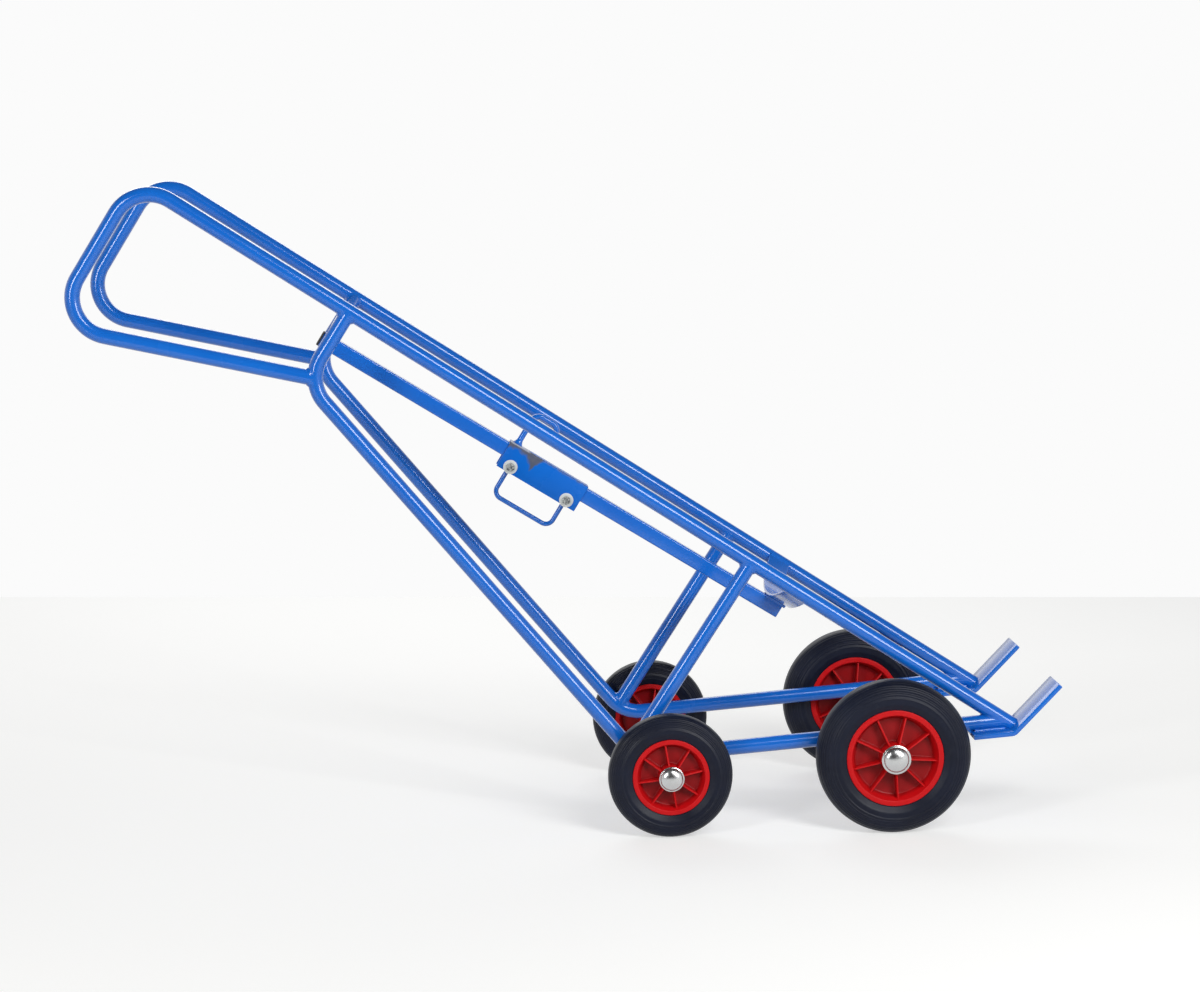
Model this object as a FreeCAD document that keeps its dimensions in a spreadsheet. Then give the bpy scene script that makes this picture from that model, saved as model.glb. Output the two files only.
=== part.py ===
import FreeCAD, Part
import math
import os
import re
import Sketcher
from FreeCAD import Vector

# A four-wheeled drum trolley, in millimetres and degrees.
# +X points to the toe, +Y to the left, +Z up, and the wheels stand on Z = 0.
# The two side frames are bent tubes in the planes Y = plus and minus half the frame spacing.
# Three frames of reference are used: the cradle lies along the main tubes, the chassis along the
# low tubes, and the rail along the bar that the hook slides on.

SIZES = {
    # stance
    "front_axle_x": 520.5,
    "wheelbase": 365,
    # side frames
    "frame_spacing": 338,
    "tube_od": 25,
    "tube_wall": 2,
    "bend_radius": 62,
    "recline_angle": 32.7,
    "toe_reach": 193,
    "rear_overhang": 50,
    "leg_join": 1267,
    "leg_depth": 131,
    "handle_length": 394,
    "handle_depth": 270,
    "handle_lean": 4,
    "return_turn": 33.5,
    "strut_join": 500,
    "strut_seat_rise": 3,
    "weld_gap": 0.2,
    # toe prongs
    "prong_width": 70,
    "prong_thickness": 8,
    "prong_flange": 69,
    "prong_toe": 111,
    "prong_angle": 41.6,
    "prong_bend": 8,
    "prong_ahead": 7.2,
    "prong_weld_land": 30,
    # drum cradle
    "drum_radius": 292,
    "cradle_relief": 1.2,
    "cross_tube_od": 22,
    "strap_join": 400,
    "strap_width": 40,
    "strap_thickness": 5,
    # hook rail
    "rail_overhang": 13,
    "rail_setback": 5,
    "rail_size": 25,
    "rail_wall": 2,
    "rail_corner": 3,
    "plug_head": 4,
    "plug_stub": 16,
    "plug_fit": 0.2,
    # axles and what sits on them
    "front_axle_dia": 25,
    "rear_axle_dia": 20,
    "front_axle_gap": 3,
    "rear_axle_gap": 0.5,
    "axle_stub": 5.5,
    "axle_fit": 0.1,
    "lug_thickness": 8,
    "lug_wall": 6,
    "front_collar_dia": 36,
    "front_collar_length": 6,
    "rear_collar_dia": 30,
    "rear_collar_length": 8,
    "washer_thickness": 2.5,
    "front_washer_dia": 42,
    "rear_washer_dia": 35,
    "hub_play": 0.3,
    "cap_sheet": 1.2,
    "front_cap_flange": 48,
    "front_cap_dome": 42,
    "front_cap_height": 11,
    "rear_cap_flange": 41,
    "rear_cap_dome": 37.5,
    "rear_cap_height": 10,
    # wheel centres
    "front_hub_length": 58,
    "front_hub_dia": 48,
    "front_web_dia": 128,
    "front_lip_dia": 142,
    "front_seat_dia": 150,
    "front_rim_dia": 159,
    "front_rim_width": 46,
    "front_rib_count": 9,
    "front_rib_turn": -5,
    "rear_hub_length": 54,
    "rear_hub_dia": 40,
    "rear_web_dia": 98,
    "rear_lip_dia": 110,
    "rear_seat_dia": 117,
    "rear_rim_dia": 125,
    "rear_rim_width": 40,
    "rear_rib_count": 8,
    "rear_rib_turn": 10,
    "web_thickness": 6,
    "rib_thickness": 3,
    "rib_hub_drop": 4,
    "rib_rim_drop": 6,
    "rim_lip": 5,
    "moulding_radius": 3,
    # tyres
    "front_wheel_dia": 254,
    "front_tyre_width": 56,
    "front_tyre_crown": 25,
    "rear_wheel_dia": 203,
    "rear_tyre_width": 48,
    "rear_tyre_crown": 21,
    "tyre_foot_inset": 1,
    "sidewall_flare": 11,
    "tyre_fit": 0.1,
    # roller bearings
    "front_roller_dia": 5,
    "front_roller_count": 9,
    "rear_roller_dia": 4,
    "rear_roller_count": 9,
    "roller_end_wall": 6,
    "cage_inset": 1,
    "cage_play": 0.8,
    "pocket_play": 0.15,
    "bearing_play": 0.1,
    # hook carriage
    "carriage_rest": 463.5,
    "carriage_length": 151,
    "carriage_height": 48,
    "carriage_plate": 3,
    "carriage_bend": 2,
    "slide_clearance": 0.5,
    "bolt_spacing": 109,
    "bolt_dia": 8,
    "bolt_play": 0.2,
    "bolt_flats": 13,
    "bolt_head": 5.3,
    "bolt_washer_dia": 24,
    "bolt_washer": 2,
    "nut_height": 6.5,
    "nut_collar": 2,
    "nut_collar_dia": 11.5,
    "thread_stub": 3,
    "sleeve_od": 18,
    "sleeve_end_play": 0.1,
    "pull_rod": 8,
    "pull_drop": 55.5,
    "pull_bend": 14,
    "hook_rod": 10,
    "hook_offset": 62.5,
    "hook_rise": 8.8,
    "hook_reach": 46,
    "hook_bend": 14,
    "hook_tip": 29,
    "hook_foot_dia": 18,
    "hook_foot_height": 10,
    # one overrun for all cuts
    "overrun": 10,
}

# Values that follow from the sizes. The chassis tube passes over both axles, so its slope and
# height come from the wheels. The drum's axis is where a drum would touch both main tubes.
FORMULAS = {
    "front_drop": "(tube_od + front_axle_dia) / 2 + front_axle_gap",
    "rear_drop": "(tube_od + rear_axle_dia) / 2 + rear_axle_gap",
    "axle_rise": "(front_wheel_dia - rear_wheel_dia) / 2",
    "chassis_angle": "(atan(axle_rise / wheelbase)"
                     " + asin((front_drop - rear_drop) / sqrt(wheelbase^2 + axle_rise^2))) / 1deg",
    "corner_x": "front_axle_x + toe_reach",
    "corner_z": "front_wheel_dia / 2 + front_drop / cos(chassis_angle) + toe_reach * tan(chassis_angle)",
    "chassis_length": "(toe_reach + wheelbase) / cos(chassis_angle) + rear_overhang",
    "fold_angle": "recline_angle + chassis_angle",
    "rear_corner_x": "-chassis_length * cos(fold_angle)",
    "rear_corner_z": "-chassis_length * sin(fold_angle)",
    "leg_angle": "atan(-(rear_corner_z + leg_depth) / (rear_corner_x + leg_join)) / 1deg",
    "leg_half_turn": "(90 - leg_angle) / 2",
    "handle_reach": "leg_join + handle_length",
    "return_x": "bend_radius - leg_join - bend_radius * cos(return_turn)",
    "return_z": "bend_radius * tan(leg_half_turn) - leg_depth - bend_radius * sin(return_turn)",
    "strut_on_leg": "rear_corner_z + (strut_join + rear_corner_x) * tan(leg_angle)",
    "strut_on_chassis": "-strut_join * tan(fold_angle)",
    "strut_seat": "max(strut_on_leg; strut_on_chassis) + strut_seat_rise",
    "toe_overrun": "2 * tube_od",
    "cope_block": "4 * tube_od",
    "tube_radius": "tube_od / 2",
    "weld_radius": "tube_radius + weld_gap",
    "prong_top": "-(tube_radius + weld_gap)",
    "prong_mitre": "prong_thickness * tan(prong_angle / 2)",
    "drum_axis": "sqrt((drum_radius + tube_radius)^2 - (frame_spacing / 2)^2) - cradle_relief",
    "cradle_depth": "drum_radius - drum_axis",
    "strap_reach": "frame_spacing / 2 - tube_radius / 2",
    "strap_half_turn": "asin(strap_reach / (drum_radius + strap_thickness / 2)) / 1deg",
    "cross_half_turn": "asin(frame_spacing / 2 / (drum_radius + cross_tube_od / 2)) / 1deg",
    "strap_low_edge": "strap_join - strap_width / 2",
    "rail_length": "leg_join + rail_overhang - strap_low_edge - rail_setback",
    "rail_tilt": "atan((cross_tube_od - strap_thickness) / (leg_join - strap_low_edge)) / 1deg",
    "rail_drop": "cradle_depth + strap_thickness + weld_gap",
    "plate_inner": "rail_size / 2 + slide_clearance",
    "plate_outer": "plate_inner + carriage_plate",
    "plate_top": "slide_clearance + carriage_plate",
    "sleeve_z": "-(rail_size + slide_clearance + sleeve_od / 2)",
    "hook_top": "hook_rise + rail_drop + (rail_setback + carriage_rest) * tan(rail_tilt)",
    "head_radius": "bolt_flats / 2 / cos(30)",
    "cradle": "placement(vector(corner_x; 0; corner_z); rotationy(recline_angle))",
    "chassis": "placement(vector(corner_x; 0; corner_z); rotationy(-chassis_angle))",
    "toe": "chassis * placement(vector(prong_ahead; 0; prong_top); rotationy(-prong_angle))",
    "rail": "cradle * placement(vector(-strap_low_edge; 0; -rail_drop); rotationy(-rail_tilt))",
    "carriage": "rail * placement(vector(-(rail_setback + carriage_rest); 0; 0); rotationy(0))",
    "stack_inner": "frame_spacing / 2 + weld_radius",
    "front_hub_inner": "stack_inner + front_collar_length + washer_thickness + hub_play",
    "rear_hub_inner": "stack_inner + rear_collar_length + washer_thickness + hub_play",
    "front_hub_outer": "front_hub_inner + front_hub_length + hub_play",
    "rear_hub_outer": "rear_hub_inner + rear_hub_length + hub_play",
    "front_axis": "placement(vector(front_axle_x; 0; front_wheel_dia / 2); rotationy(0))",
    "rear_axis": "placement(vector(front_axle_x - wheelbase; 0; rear_wheel_dia / 2); rotationy(0))",
}

SIDES = {"left": "1", "right": "-1"}
OUTWARD = {"left": "rotationx(-90)", "right": "rotationx(90)"}
UPRIGHT = "rotationx(90)"
KINDS = ("front", "rear")

doc = FreeCAD.newDocument("drum_trolley")
sheet = doc.addObject("Spreadsheet::Sheet", "Sizes")
nodes = []


def fill_sheet():
    """Writes each driving dimension to its own cell and names the cell."""
    for row, (name, size) in enumerate(SIZES.items(), start=1):
        sheet.set(f"A{row}", name)
        sheet.set(f"B{row}", str(size))
        sheet.setAlias(f"B{row}", name)
    doc.recompute()


def spell(formula):
    """Spells a formula of size names as an expression on the sheet's cells."""
    def swap(match):
        word = match.group(0)
        if word in FORMULAS:
            return f"({spell(FORMULAS[word])})"
        return f"Sizes.{word}" if word in SIZES else word
    return re.sub(r"[a-z_]+", swap, formula)


def bind(item, prop, formula):
    item.setExpression(prop, spell(formula))


def value(formula):
    """What a formula comes to with the present sizes."""
    result = sheet.evalExpression(spell(formula))
    return float(getattr(result, "Value", result))


def at(frame, x="0", y="0", z="0", turn="rotationx(0)"):
    """A place in one of the frames of reference."""
    return f"{frame} * placement(vector({x}; {y}; {z}); {turn})"


def rod(name, radius, length, place, angle="360"):
    item = doc.addObject("Part::Cylinder", name)
    bind(item, "Radius", radius)
    bind(item, "Height", length)
    bind(item, "Angle", angle)
    bind(item, "Placement", place)
    return item


def block(name, length, width, height, place):
    item = doc.addObject("Part::Box", name)
    bind(item, "Length", length)
    bind(item, "Width", width)
    bind(item, "Height", height)
    bind(item, "Placement", place)
    return item


def hexagon(name, radius, height, place):
    item = doc.addObject("Part::Prism", name)
    item.Polygon = 6
    bind(item, "Circumradius", radius)
    bind(item, "Height", height)
    bind(item, "Placement", place)
    return item


def cut(name, base, *tools):
    """The base with each tool taken away in turn."""
    for step, tool in enumerate(tools, start=1):
        item = doc.addObject("Part::Cut", f"{name}_cut_{step}")
        item.Base = base
        item.Tool = tool
        base = item
    return base


def fuse(name, base, tool):
    item = doc.addObject("Part::Fuse", name)
    item.Base = base
    item.Tool = tool
    item.Refine = True
    return item


def group(name, items):
    """Separate like solids that share one node."""
    item = doc.addObject("Part::Compound", name)
    item.Links = items
    return item


def ring(name, outer_radius, inner_radius, length, place):
    outer = rod(f"{name}_outer", outer_radius, length, place)
    inner = rod(f"{name}_bore", inner_radius, length, place)
    return cut(name, outer, inner)


def keep(label, item):
    """Names a finished sub-part."""
    item.Label = label
    nodes.append(item)
    return item


def pin_point(sketch, geometry, end, x, y):
    """Holds a point of the sketch at the place that two formulas give."""
    for kind, formula, axis in (("DistanceX", x, -2), ("DistanceY", y, -1)):
        if formula == "0":
            sketch.addConstraint(Sketcher.Constraint("PointOnObject", geometry, end, axis))
        else:
            size = value(formula)
            number = sketch.addConstraint(Sketcher.Constraint(kind, -1, 1, geometry, end, size))
            bind(sketch, f"Constraints[{number}]", formula)


def corner_arc(before, corner, after, radius):
    """The arc that rounds a corner, where it starts and ends, and whether it turns left."""
    back = (before - corner).normalize()
    ahead = (after - corner).normalize()
    half = math.acos(max(-1, min(1, back.dot(ahead)))) / 2
    start = corner + back * (radius / math.tan(half))
    end = corner + ahead * (radius / math.tan(half))
    centre = corner + (back + ahead).normalize() * (radius / math.sin(half))
    left = back.cross(ahead).z < 0
    first, last = (start, end) if left else (end, start)
    circle = Part.Circle(centre, Vector(0, 0, 1), radius)
    return Part.ArcOfCircle(circle, circle.parameter(first), circle.parameter(last)), start, end, left


def outline(sketch, corners, closed=True):
    """Draws straight runs through the corners, with a tangent arc at each corner that has a radius.

    Each corner is (x, y) or (x, y, radius), all formulas, and every one is bound to the sheet.
    """
    spots = [Vector(value(corner[0]), value(corner[1]), 0) for corner in corners]
    count = len(corners)
    arcs = {}
    for index, corner in enumerate(corners):
        if len(corner) == 3:
            before, after = spots[index - 1], spots[(index + 1) % count]
            arcs[index] = corner_arc(before, spots[index], after, value(corner[2]))
    run_count = count if closed else count - 1
    runs = []
    for index in range(run_count):
        following = (index + 1) % count
        start = arcs[index][2] if index in arcs else spots[index]
        end = arcs[following][1] if following in arcs else spots[following]
        runs.append(sketch.addGeometry(Part.LineSegment(start, end)))
    for index, corner in enumerate(corners):
        before = runs[index - 1] if closed or index > 0 else None
        after = runs[index % run_count] if closed or index < run_count else None
        if index in arcs:
            round_corner(sketch, arcs[index], before, after, corner)
        elif before is None:
            pin_point(sketch, after, 1, *corner)
        else:
            if after is not None:
                sketch.addConstraint(Sketcher.Constraint("Coincident", before, 2, after, 1))
            pin_point(sketch, before, 2, *corner)


def round_corner(sketch, arc, before, after, corner):
    """Joins two runs by an arc that is tangent to both, with the corner itself as a guide point."""
    shape, start, end, left = arc
    geometry = sketch.addGeometry(shape)
    first, last = (1, 2) if left else (2, 1)
    sketch.addConstraint(Sketcher.Constraint("Tangent", before, 2, geometry, first))
    sketch.addConstraint(Sketcher.Constraint("Tangent", geometry, last, after, 1))
    number = sketch.addConstraint(Sketcher.Constraint("Radius", geometry, value(corner[2])))
    bind(sketch, f"Constraints[{number}]", corner[2])
    guide = sketch.addGeometry(Part.Point(Vector(value(corner[0]), value(corner[1]), 0)), True)
    pin_point(sketch, guide, 1, corner[0], corner[1])
    sketch.addConstraint(Sketcher.Constraint("PointOnObject", guide, 1, before))
    sketch.addConstraint(Sketcher.Constraint("PointOnObject", guide, 1, after))


def path(name, place, corners):
    """The centre line of a bent tube or rod, in the upright plane of a frame of reference."""
    sketch = doc.addObject("Sketcher::SketchObject", name)
    bind(sketch, "Placement", f"{place} * placement(vector(0; 0; 0); {UPRIGHT})")
    outline(sketch, corners, closed=False)
    doc.recompute()
    return sketch


def sweep(name, spine, radius, start):
    """A round bar along a centre line."""
    section = doc.addObject("Part::Circle", f"{name}_section")
    bind(section, "Radius", radius)
    bind(section, "Placement", start)
    item = doc.addObject("Part::Sweep", name)
    item.Sections = [section]
    item.Spine = (spine, [f"Edge{number}" for number in range(1, len(spine.Shape.Edges) + 1)])
    item.Solid = True
    return item


def new_body(name, place):
    body = doc.addObject("PartDesign::Body", name)
    bind(body, "Placement", place)
    return body


def body_sketch(body, name, plane):
    sketch = body.newObject("Sketcher::SketchObject", f"{body.Name}_{name}")
    planes = {feature.Role: feature for feature in body.Origin.OriginFeatures}
    sketch.AttachmentSupport = (planes[plane], [""])
    sketch.MapMode = "FlatFace"
    return sketch


def pad(body, name, sketch, length, symmetric=True):
    feature = body.newObject("PartDesign::Pad", f"{body.Name}_{name}")
    feature.Profile = sketch
    feature.SideType = "Symmetric" if symmetric else "One side"
    bind(feature, "Length", length)
    doc.recompute()
    return feature


def revolve(body, name, sketch):
    feature = body.newObject("PartDesign::Revolution", f"{body.Name}_{name}")
    feature.Profile = sketch
    feature.ReferenceAxis = (sketch, ["V_Axis"])
    feature.Angle = 360
    doc.recompute()
    return feature


# Side frames

def side_y(side):
    return f"{SIDES[side]} * frame_spacing / 2"


def leg_path(side):
    """From the main tube square down, round a bend, down the leg, round the rear bend, to the toe."""
    corners = [
        ("-leg_join", "0"),
        ("-leg_join", "-leg_depth", "bend_radius"),
        ("rear_corner_x", "rear_corner_z", "bend_radius"),
        ("0", "0"),
    ]
    return path(f"{side}_leg_path", at("cradle", y=side_y(side)), corners)


def main_path(side):
    """From the toe up the main run, round the handle and back to the leg's upper bend."""
    corners = [
        ("toe_overrun", "0"),
        ("-handle_reach", "0", "bend_radius"),
        ("handle_lean - handle_reach", "-handle_depth", "bend_radius"),
        ("return_x", "return_z"),
    ]
    return path(f"{side}_main_path", at("cradle", y=side_y(side)), corners)


def hollow_tube(name, spine, start):
    outer = sweep(f"{name}_outer", spine, "tube_radius", start)
    bore = sweep(f"{name}_bore", spine, "tube_radius - tube_wall", start)
    return cut(f"{name}_hollow", outer, bore)


def toe_cutters(side, prong):
    """What a prong and the space past it take from the end of a main tube."""
    low_y = f"{side_y(side)} - tube_od"
    under = block(f"{side}_under_flange", "2 * cope_block", "2 * tube_od", "cope_block",
                  at("chassis", x="-cope_block", y=low_y, z="-(tube_radius + cope_block)"))
    past = block(f"{side}_past_toe", "2 * cope_block", "2 * tube_od", "cope_block",
                 at("toe", x="-cope_block", y=low_y, z="weld_gap - cope_block"))
    return under, past, prong


def side_frame(side, prong):
    """One main tube, leg tube and strut, each end shaped to the tube that it is welded to."""
    y = side_y(side)
    leg_start = at("cradle", x="-leg_join", y=y)
    main_start = at("cradle", x="toe_overrun", y=y, turn="rotationy(-90)")
    leg_spine = leg_path(side)
    main_spine = main_path(side)
    leg_space = sweep(f"{side}_leg_space", leg_spine, "weld_radius", leg_start)
    main_space = rod(f"{side}_main_space", "weld_radius", "toe_overrun + handle_reach", main_start)

    leg = cut(f"{side}_leg", hollow_tube(f"{side}_leg", leg_spine, leg_start), main_space)
    keep(f"{side}_leg_tube", leg)
    main = hollow_tube(f"{side}_main", main_spine, main_start)
    keep(f"{side}_main_tube", cut(f"{side}_main", main, leg_space, *toe_cutters(side, prong)))

    strut_start = at("cradle", x="-strut_join", y=y, z="strut_seat")
    strut = ring(f"{side}_strut", "tube_radius", "tube_radius - tube_wall", "-(strut_seat)", strut_start)
    keep(f"{side}_strut", cut(f"{side}_strut_ends", strut, leg_space, main_space))
    return leg_space, main_space


def toe_prong(side):
    """A flat bar under the low tube, bent up where the drum's rim stands on it.

    Its upper face is parted where the weld of the main tube ends and the drum's seat begins.
    """
    body = new_body(f"{side}_prong_body", at("chassis", y=side_y(side)))
    heel_x, heel_z = "(prong_ahead + prong_mitre)", "(prong_top - prong_thickness)"
    tip_x = f"{heel_x} + prong_toe * cos(prong_angle)"
    tip_z = f"{heel_z} + prong_toe * sin(prong_angle)"
    sketch = body_sketch(body, "profile", "XZ_Plane")
    outline(sketch, [
        (f"{heel_x} - prong_flange", heel_z),
        (heel_x, heel_z, "prong_bend + prong_thickness"),
        (tip_x, tip_z),
        (f"{tip_x} - prong_thickness * sin(prong_angle)", f"{tip_z} + prong_thickness * cos(prong_angle)"),
        ("prong_ahead + prong_weld_land * cos(prong_angle)",
         "prong_top + prong_weld_land * sin(prong_angle)"),
        ("prong_ahead", "prong_top", "prong_bend"),
        (f"{heel_x} - prong_flange", "prong_top"),
    ])
    bar = pad(body, "bar", sketch, "prong_width")
    bar.Refine = False
    return keep(f"{side}_toe_prong", body)


# Drum cradle

def cradle_strap(main_spaces):
    """A flat strap rolled to the drum's curve, welded between the main tubes."""
    turn = "rotationy(90) * rotationz(-strap_half_turn)"
    place = at("cradle", x="-(strap_join + strap_width / 2)", z="drum_axis", turn=turn)
    outer = rod("strap_outer", "drum_radius + strap_thickness", "strap_width", place, "2 * strap_half_turn")
    inner = rod("strap_inner", "drum_radius", "strap_width", place)
    keep("lower_cradle_strap", cut("strap", outer, inner, *main_spaces))


def torus(name, tube_radius, place):
    item = doc.addObject("Part::Torus", name)
    bind(item, "Radius1", "drum_radius + cross_tube_od / 2")
    bind(item, "Radius2", tube_radius)
    bind(item, "Angle3", "2 * cross_half_turn")
    bind(item, "Placement", place)
    return item


def cross_tube(leg_spaces, main_spaces):
    """A tube rolled to the drum's curve, welded between the main tubes where the legs join them."""
    turn = "rotationy(90) * rotationz(-cross_half_turn)"
    place = at("cradle", x="-leg_join", z="drum_axis", turn=turn)
    outer = torus("cross_outer", "cross_tube_od / 2", place)
    bore = torus("cross_bore", "cross_tube_od / 2 - tube_wall", place)
    keep("upper_cross_tube", cut("cross", outer, bore, *main_spaces, *leg_spaces))


# Hook rail

def rounded_square(sketch, half, radius):
    low, high = f"-({half})", half
    outline(sketch, [(low, low, radius), (high, low, radius), (high, high, radius), (low, high, radius)])


def hook_rail():
    """A square tube under the strap and the cross tube."""
    place = at("rail", x="-(rail_setback + rail_length)", z="-rail_size / 2")
    body = new_body("rail_body", place)
    sketch = body_sketch(body, "section", "YZ_Plane")
    rounded_square(sketch, "rail_size / 2", "rail_corner")
    rounded_square(sketch, "rail_size / 2 - rail_wall", "rail_corner - rail_wall")
    pad(body, "tube", sketch, "rail_length", symmetric=False)
    keep("hook_rail", body)


def rail_plug():
    """A moulded plug pressed into the upper end of the rail."""
    place = at("rail", x="-(rail_setback + rail_length + plug_head)", z="-rail_size / 2")
    body = new_body("plug_body", place)
    head = body_sketch(body, "head", "YZ_Plane")
    rounded_square(head, "rail_size / 2", "rail_corner")
    pad(body, "head_pad", head, "plug_head", symmetric=False)
    stub = body_sketch(body, "stub", "YZ_Plane")
    rounded_square(stub, "rail_size / 2 - rail_wall - plug_fit", "rail_corner - rail_wall")
    pad(body, "stub_pad", stub, "plug_head + plug_stub", symmetric=False)
    keep("rail_end_plug", body)


# Axles

def axle(kind):
    """A round bar from wheel to wheel."""
    half = f"({kind}_hub_outer + washer_thickness + axle_stub)"
    place = at(f"{kind}_axis", y=f"-{half}", turn=OUTWARD["left"])
    keep(f"{kind}_axle", rod(f"{kind}_axle_bar", f"{kind}_axle_dia / 2", f"2 * {half}", place))


def axle_lugs(kind, leg_spaces):
    """A plate under each low tube with the axle through its eye."""
    eye = f"({kind}_axle_dia / 2 + lug_wall)"
    lugs = []
    for side, leg_space in leg_spaces.items():
        name = f"{kind}_{side}_lug"
        near = f"{side_y(side)} - lug_thickness / 2"
        place = at(f"{kind}_axis", y=near, turn=OUTWARD["left"])
        boss = rod(f"{name}_boss", eye, "lug_thickness", place)
        neck = block(f"{name}_neck", f"2 * {eye}", "lug_thickness", f"{kind}_drop",
                     at(f"{kind}_axis", x=f"-{eye}", y=near))
        bore = rod(f"{name}_bore", f"{kind}_axle_dia / 2 + axle_fit", "lug_thickness", place)
        plate = fuse(f"{name}_plate", boss, neck)
        lugs.append(cut(name, plate, bore, leg_space))
    keep(f"{kind}_axle_lugs", group(f"{kind}_lug_pair", lugs))


def axle_collars(kind):
    """A ring on the axle between each side frame and its wheel."""
    rings = []
    for side, sign in SIDES.items():
        place = at(f"{kind}_axis", y=f"{sign} * stack_inner", turn=OUTWARD[side])
        rings.append(ring(f"{kind}_{side}_collar", f"{kind}_collar_dia / 2",
                          f"{kind}_axle_dia / 2 + axle_fit", f"{kind}_collar_length", place))
    keep(f"{kind}_axle_collars", group(f"{kind}_collar_pair", rings))


def axle_washers(kind):
    """A washer on each side of both hubs."""
    faces = {"inner": f"(stack_inner + {kind}_collar_length)", "outer": f"{kind}_hub_outer"}
    rings = []
    for side, sign in SIDES.items():
        for name, face in faces.items():
            place = at(f"{kind}_axis", y=f"{sign} * {face}", turn=OUTWARD[side])
            rings.append(ring(f"{kind}_{side}_{name}_washer", f"{kind}_washer_dia / 2",
                              f"{kind}_axle_dia / 2 + axle_fit", "washer_thickness", place))
    keep(f"{kind}_axle_washers", group(f"{kind}_washer_set", rings))


def half_dome(name, radius, height, place):
    item = doc.addObject("Part::Ellipsoid", name)
    bind(item, "Radius1", height)
    bind(item, "Radius2", radius)
    bind(item, "Radius3", radius)
    item.Angle1 = 0
    bind(item, "Placement", place)
    return item


def axle_caps(kind):
    """A pressed dome on a flat ring that grips the axle's end."""
    caps = []
    for side, sign in SIDES.items():
        name = f"{kind}_{side}_cap"
        face = f"{sign} * ({kind}_hub_outer + washer_thickness)"
        place = at(f"{kind}_axis", y=face, turn=OUTWARD[side])
        dome = half_dome(f"{name}_dome", f"{kind}_cap_dome / 2", f"{kind}_cap_height", place)
        hollow = half_dome(f"{name}_hollow", f"{kind}_cap_dome / 2 - cap_sheet",
                           f"{kind}_cap_height - cap_sheet", place)
        flange = ring(f"{name}_flange", f"{kind}_cap_flange / 2", f"{kind}_axle_dia / 2 + axle_fit",
                      "cap_sheet", place)
        caps.append(fuse(f"{name}_shell", cut(name, dome, hollow), flange))
    keep(f"{kind}_axle_caps", group(f"{kind}_cap_pair", caps))


# Wheels

def wheel_place(kind, side):
    middle = f"{SIDES[side]} * ({kind}_hub_inner + {kind}_hub_length / 2)"
    return at(f"{kind}_axis", y=middle, turn=f"{OUTWARD[side]} * rotationz({kind}_rib_turn)")


def hub_bore(kind):
    return f"({kind}_axle_dia / 2 + {kind}_roller_dia + 2 * bearing_play)"


def wheel_centre(kind, side):
    """A moulded hub, web and rim with ribs on both faces of the web."""
    body = new_body(f"{kind}_{side}_centre_body", wheel_place(kind, side))
    hub, web, lip = f"{kind}_hub_dia / 2", f"{kind}_web_dia / 2", f"{kind}_lip_dia / 2"
    seat, rim = f"{kind}_seat_dia / 2", f"{kind}_rim_dia / 2"
    hub_end, rim_end = f"{kind}_hub_length / 2", f"{kind}_rim_width / 2"
    half = [
        (hub_bore(kind), hub_end),
        (hub, hub_end),
        (hub, "web_thickness / 2", "moulding_radius"),
        (web, "web_thickness / 2", "moulding_radius"),
        (lip, rim_end),
        (rim, rim_end),
        (rim, f"{rim_end} - rim_lip"),
        (seat, f"{rim_end} - rim_lip"),
    ]
    mirrored = [(corner[0], f"-({corner[1]})", *corner[2:]) for corner in reversed(half)]
    section = body_sketch(body, "section", "XZ_Plane")
    outline(section, half + mirrored)
    revolve(body, "turned", section)

    inner, outer = f"({hub_bore(kind)} + {hub}) / 2", f"({lip} + {seat}) / 2"
    rib = body_sketch(body, "rib", "XZ_Plane")
    outline(rib, [
        (inner, f"-({hub_end} - rib_hub_drop)"),
        (outer, f"-({rim_end} - rib_rim_drop)"),
        (outer, f"{rim_end} - rib_rim_drop"),
        (inner, f"{hub_end} - rib_hub_drop"),
    ])
    rib_pad = pad(body, "rib_pad", rib, "rib_thickness")
    ribs = body.newObject("PartDesign::PolarPattern", f"{body.Name}_ribs")
    axes = {feature.Role: feature for feature in body.Origin.OriginFeatures}
    ribs.Originals = [rib_pad]
    ribs.Axis = (axes["Z_Axis"], [""])
    ribs.Angle = 360
    bind(ribs, "Occurrences", f"{kind}_rib_count")
    body.Tip = ribs
    doc.recompute()
    keep(f"{kind}_{side}_wheel_centre", body)


def tyre(kind, side):
    """A solid rubber ring held between the lips of the rim."""
    body = new_body(f"{kind}_{side}_tyre_body", wheel_place(kind, side))
    bead, lip = f"{kind}_seat_dia / 2 + tyre_fit", f"{kind}_rim_dia / 2 + tyre_fit"
    tread, wide = f"{kind}_wheel_dia / 2", f"{kind}_tyre_width / 2"
    half = [
        (bead, f"{kind}_rim_width / 2 - rim_lip - tyre_fit"),
        (lip, f"{kind}_rim_width / 2 - rim_lip - tyre_fit"),
        (lip, f"{kind}_rim_width / 2 - tyre_foot_inset"),
        (f"{lip} + sidewall_flare", wide),
        (tread, wide, f"{kind}_tyre_crown"),
    ]
    mirrored = [(corner[0], f"-({corner[1]})", *corner[2:]) for corner in reversed(half)]
    section = body_sketch(body, "section", "XZ_Plane")
    outline(section, half + mirrored)
    revolve(body, "ring", section)
    keep(f"{kind}_{side}_tyre", body)


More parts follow.
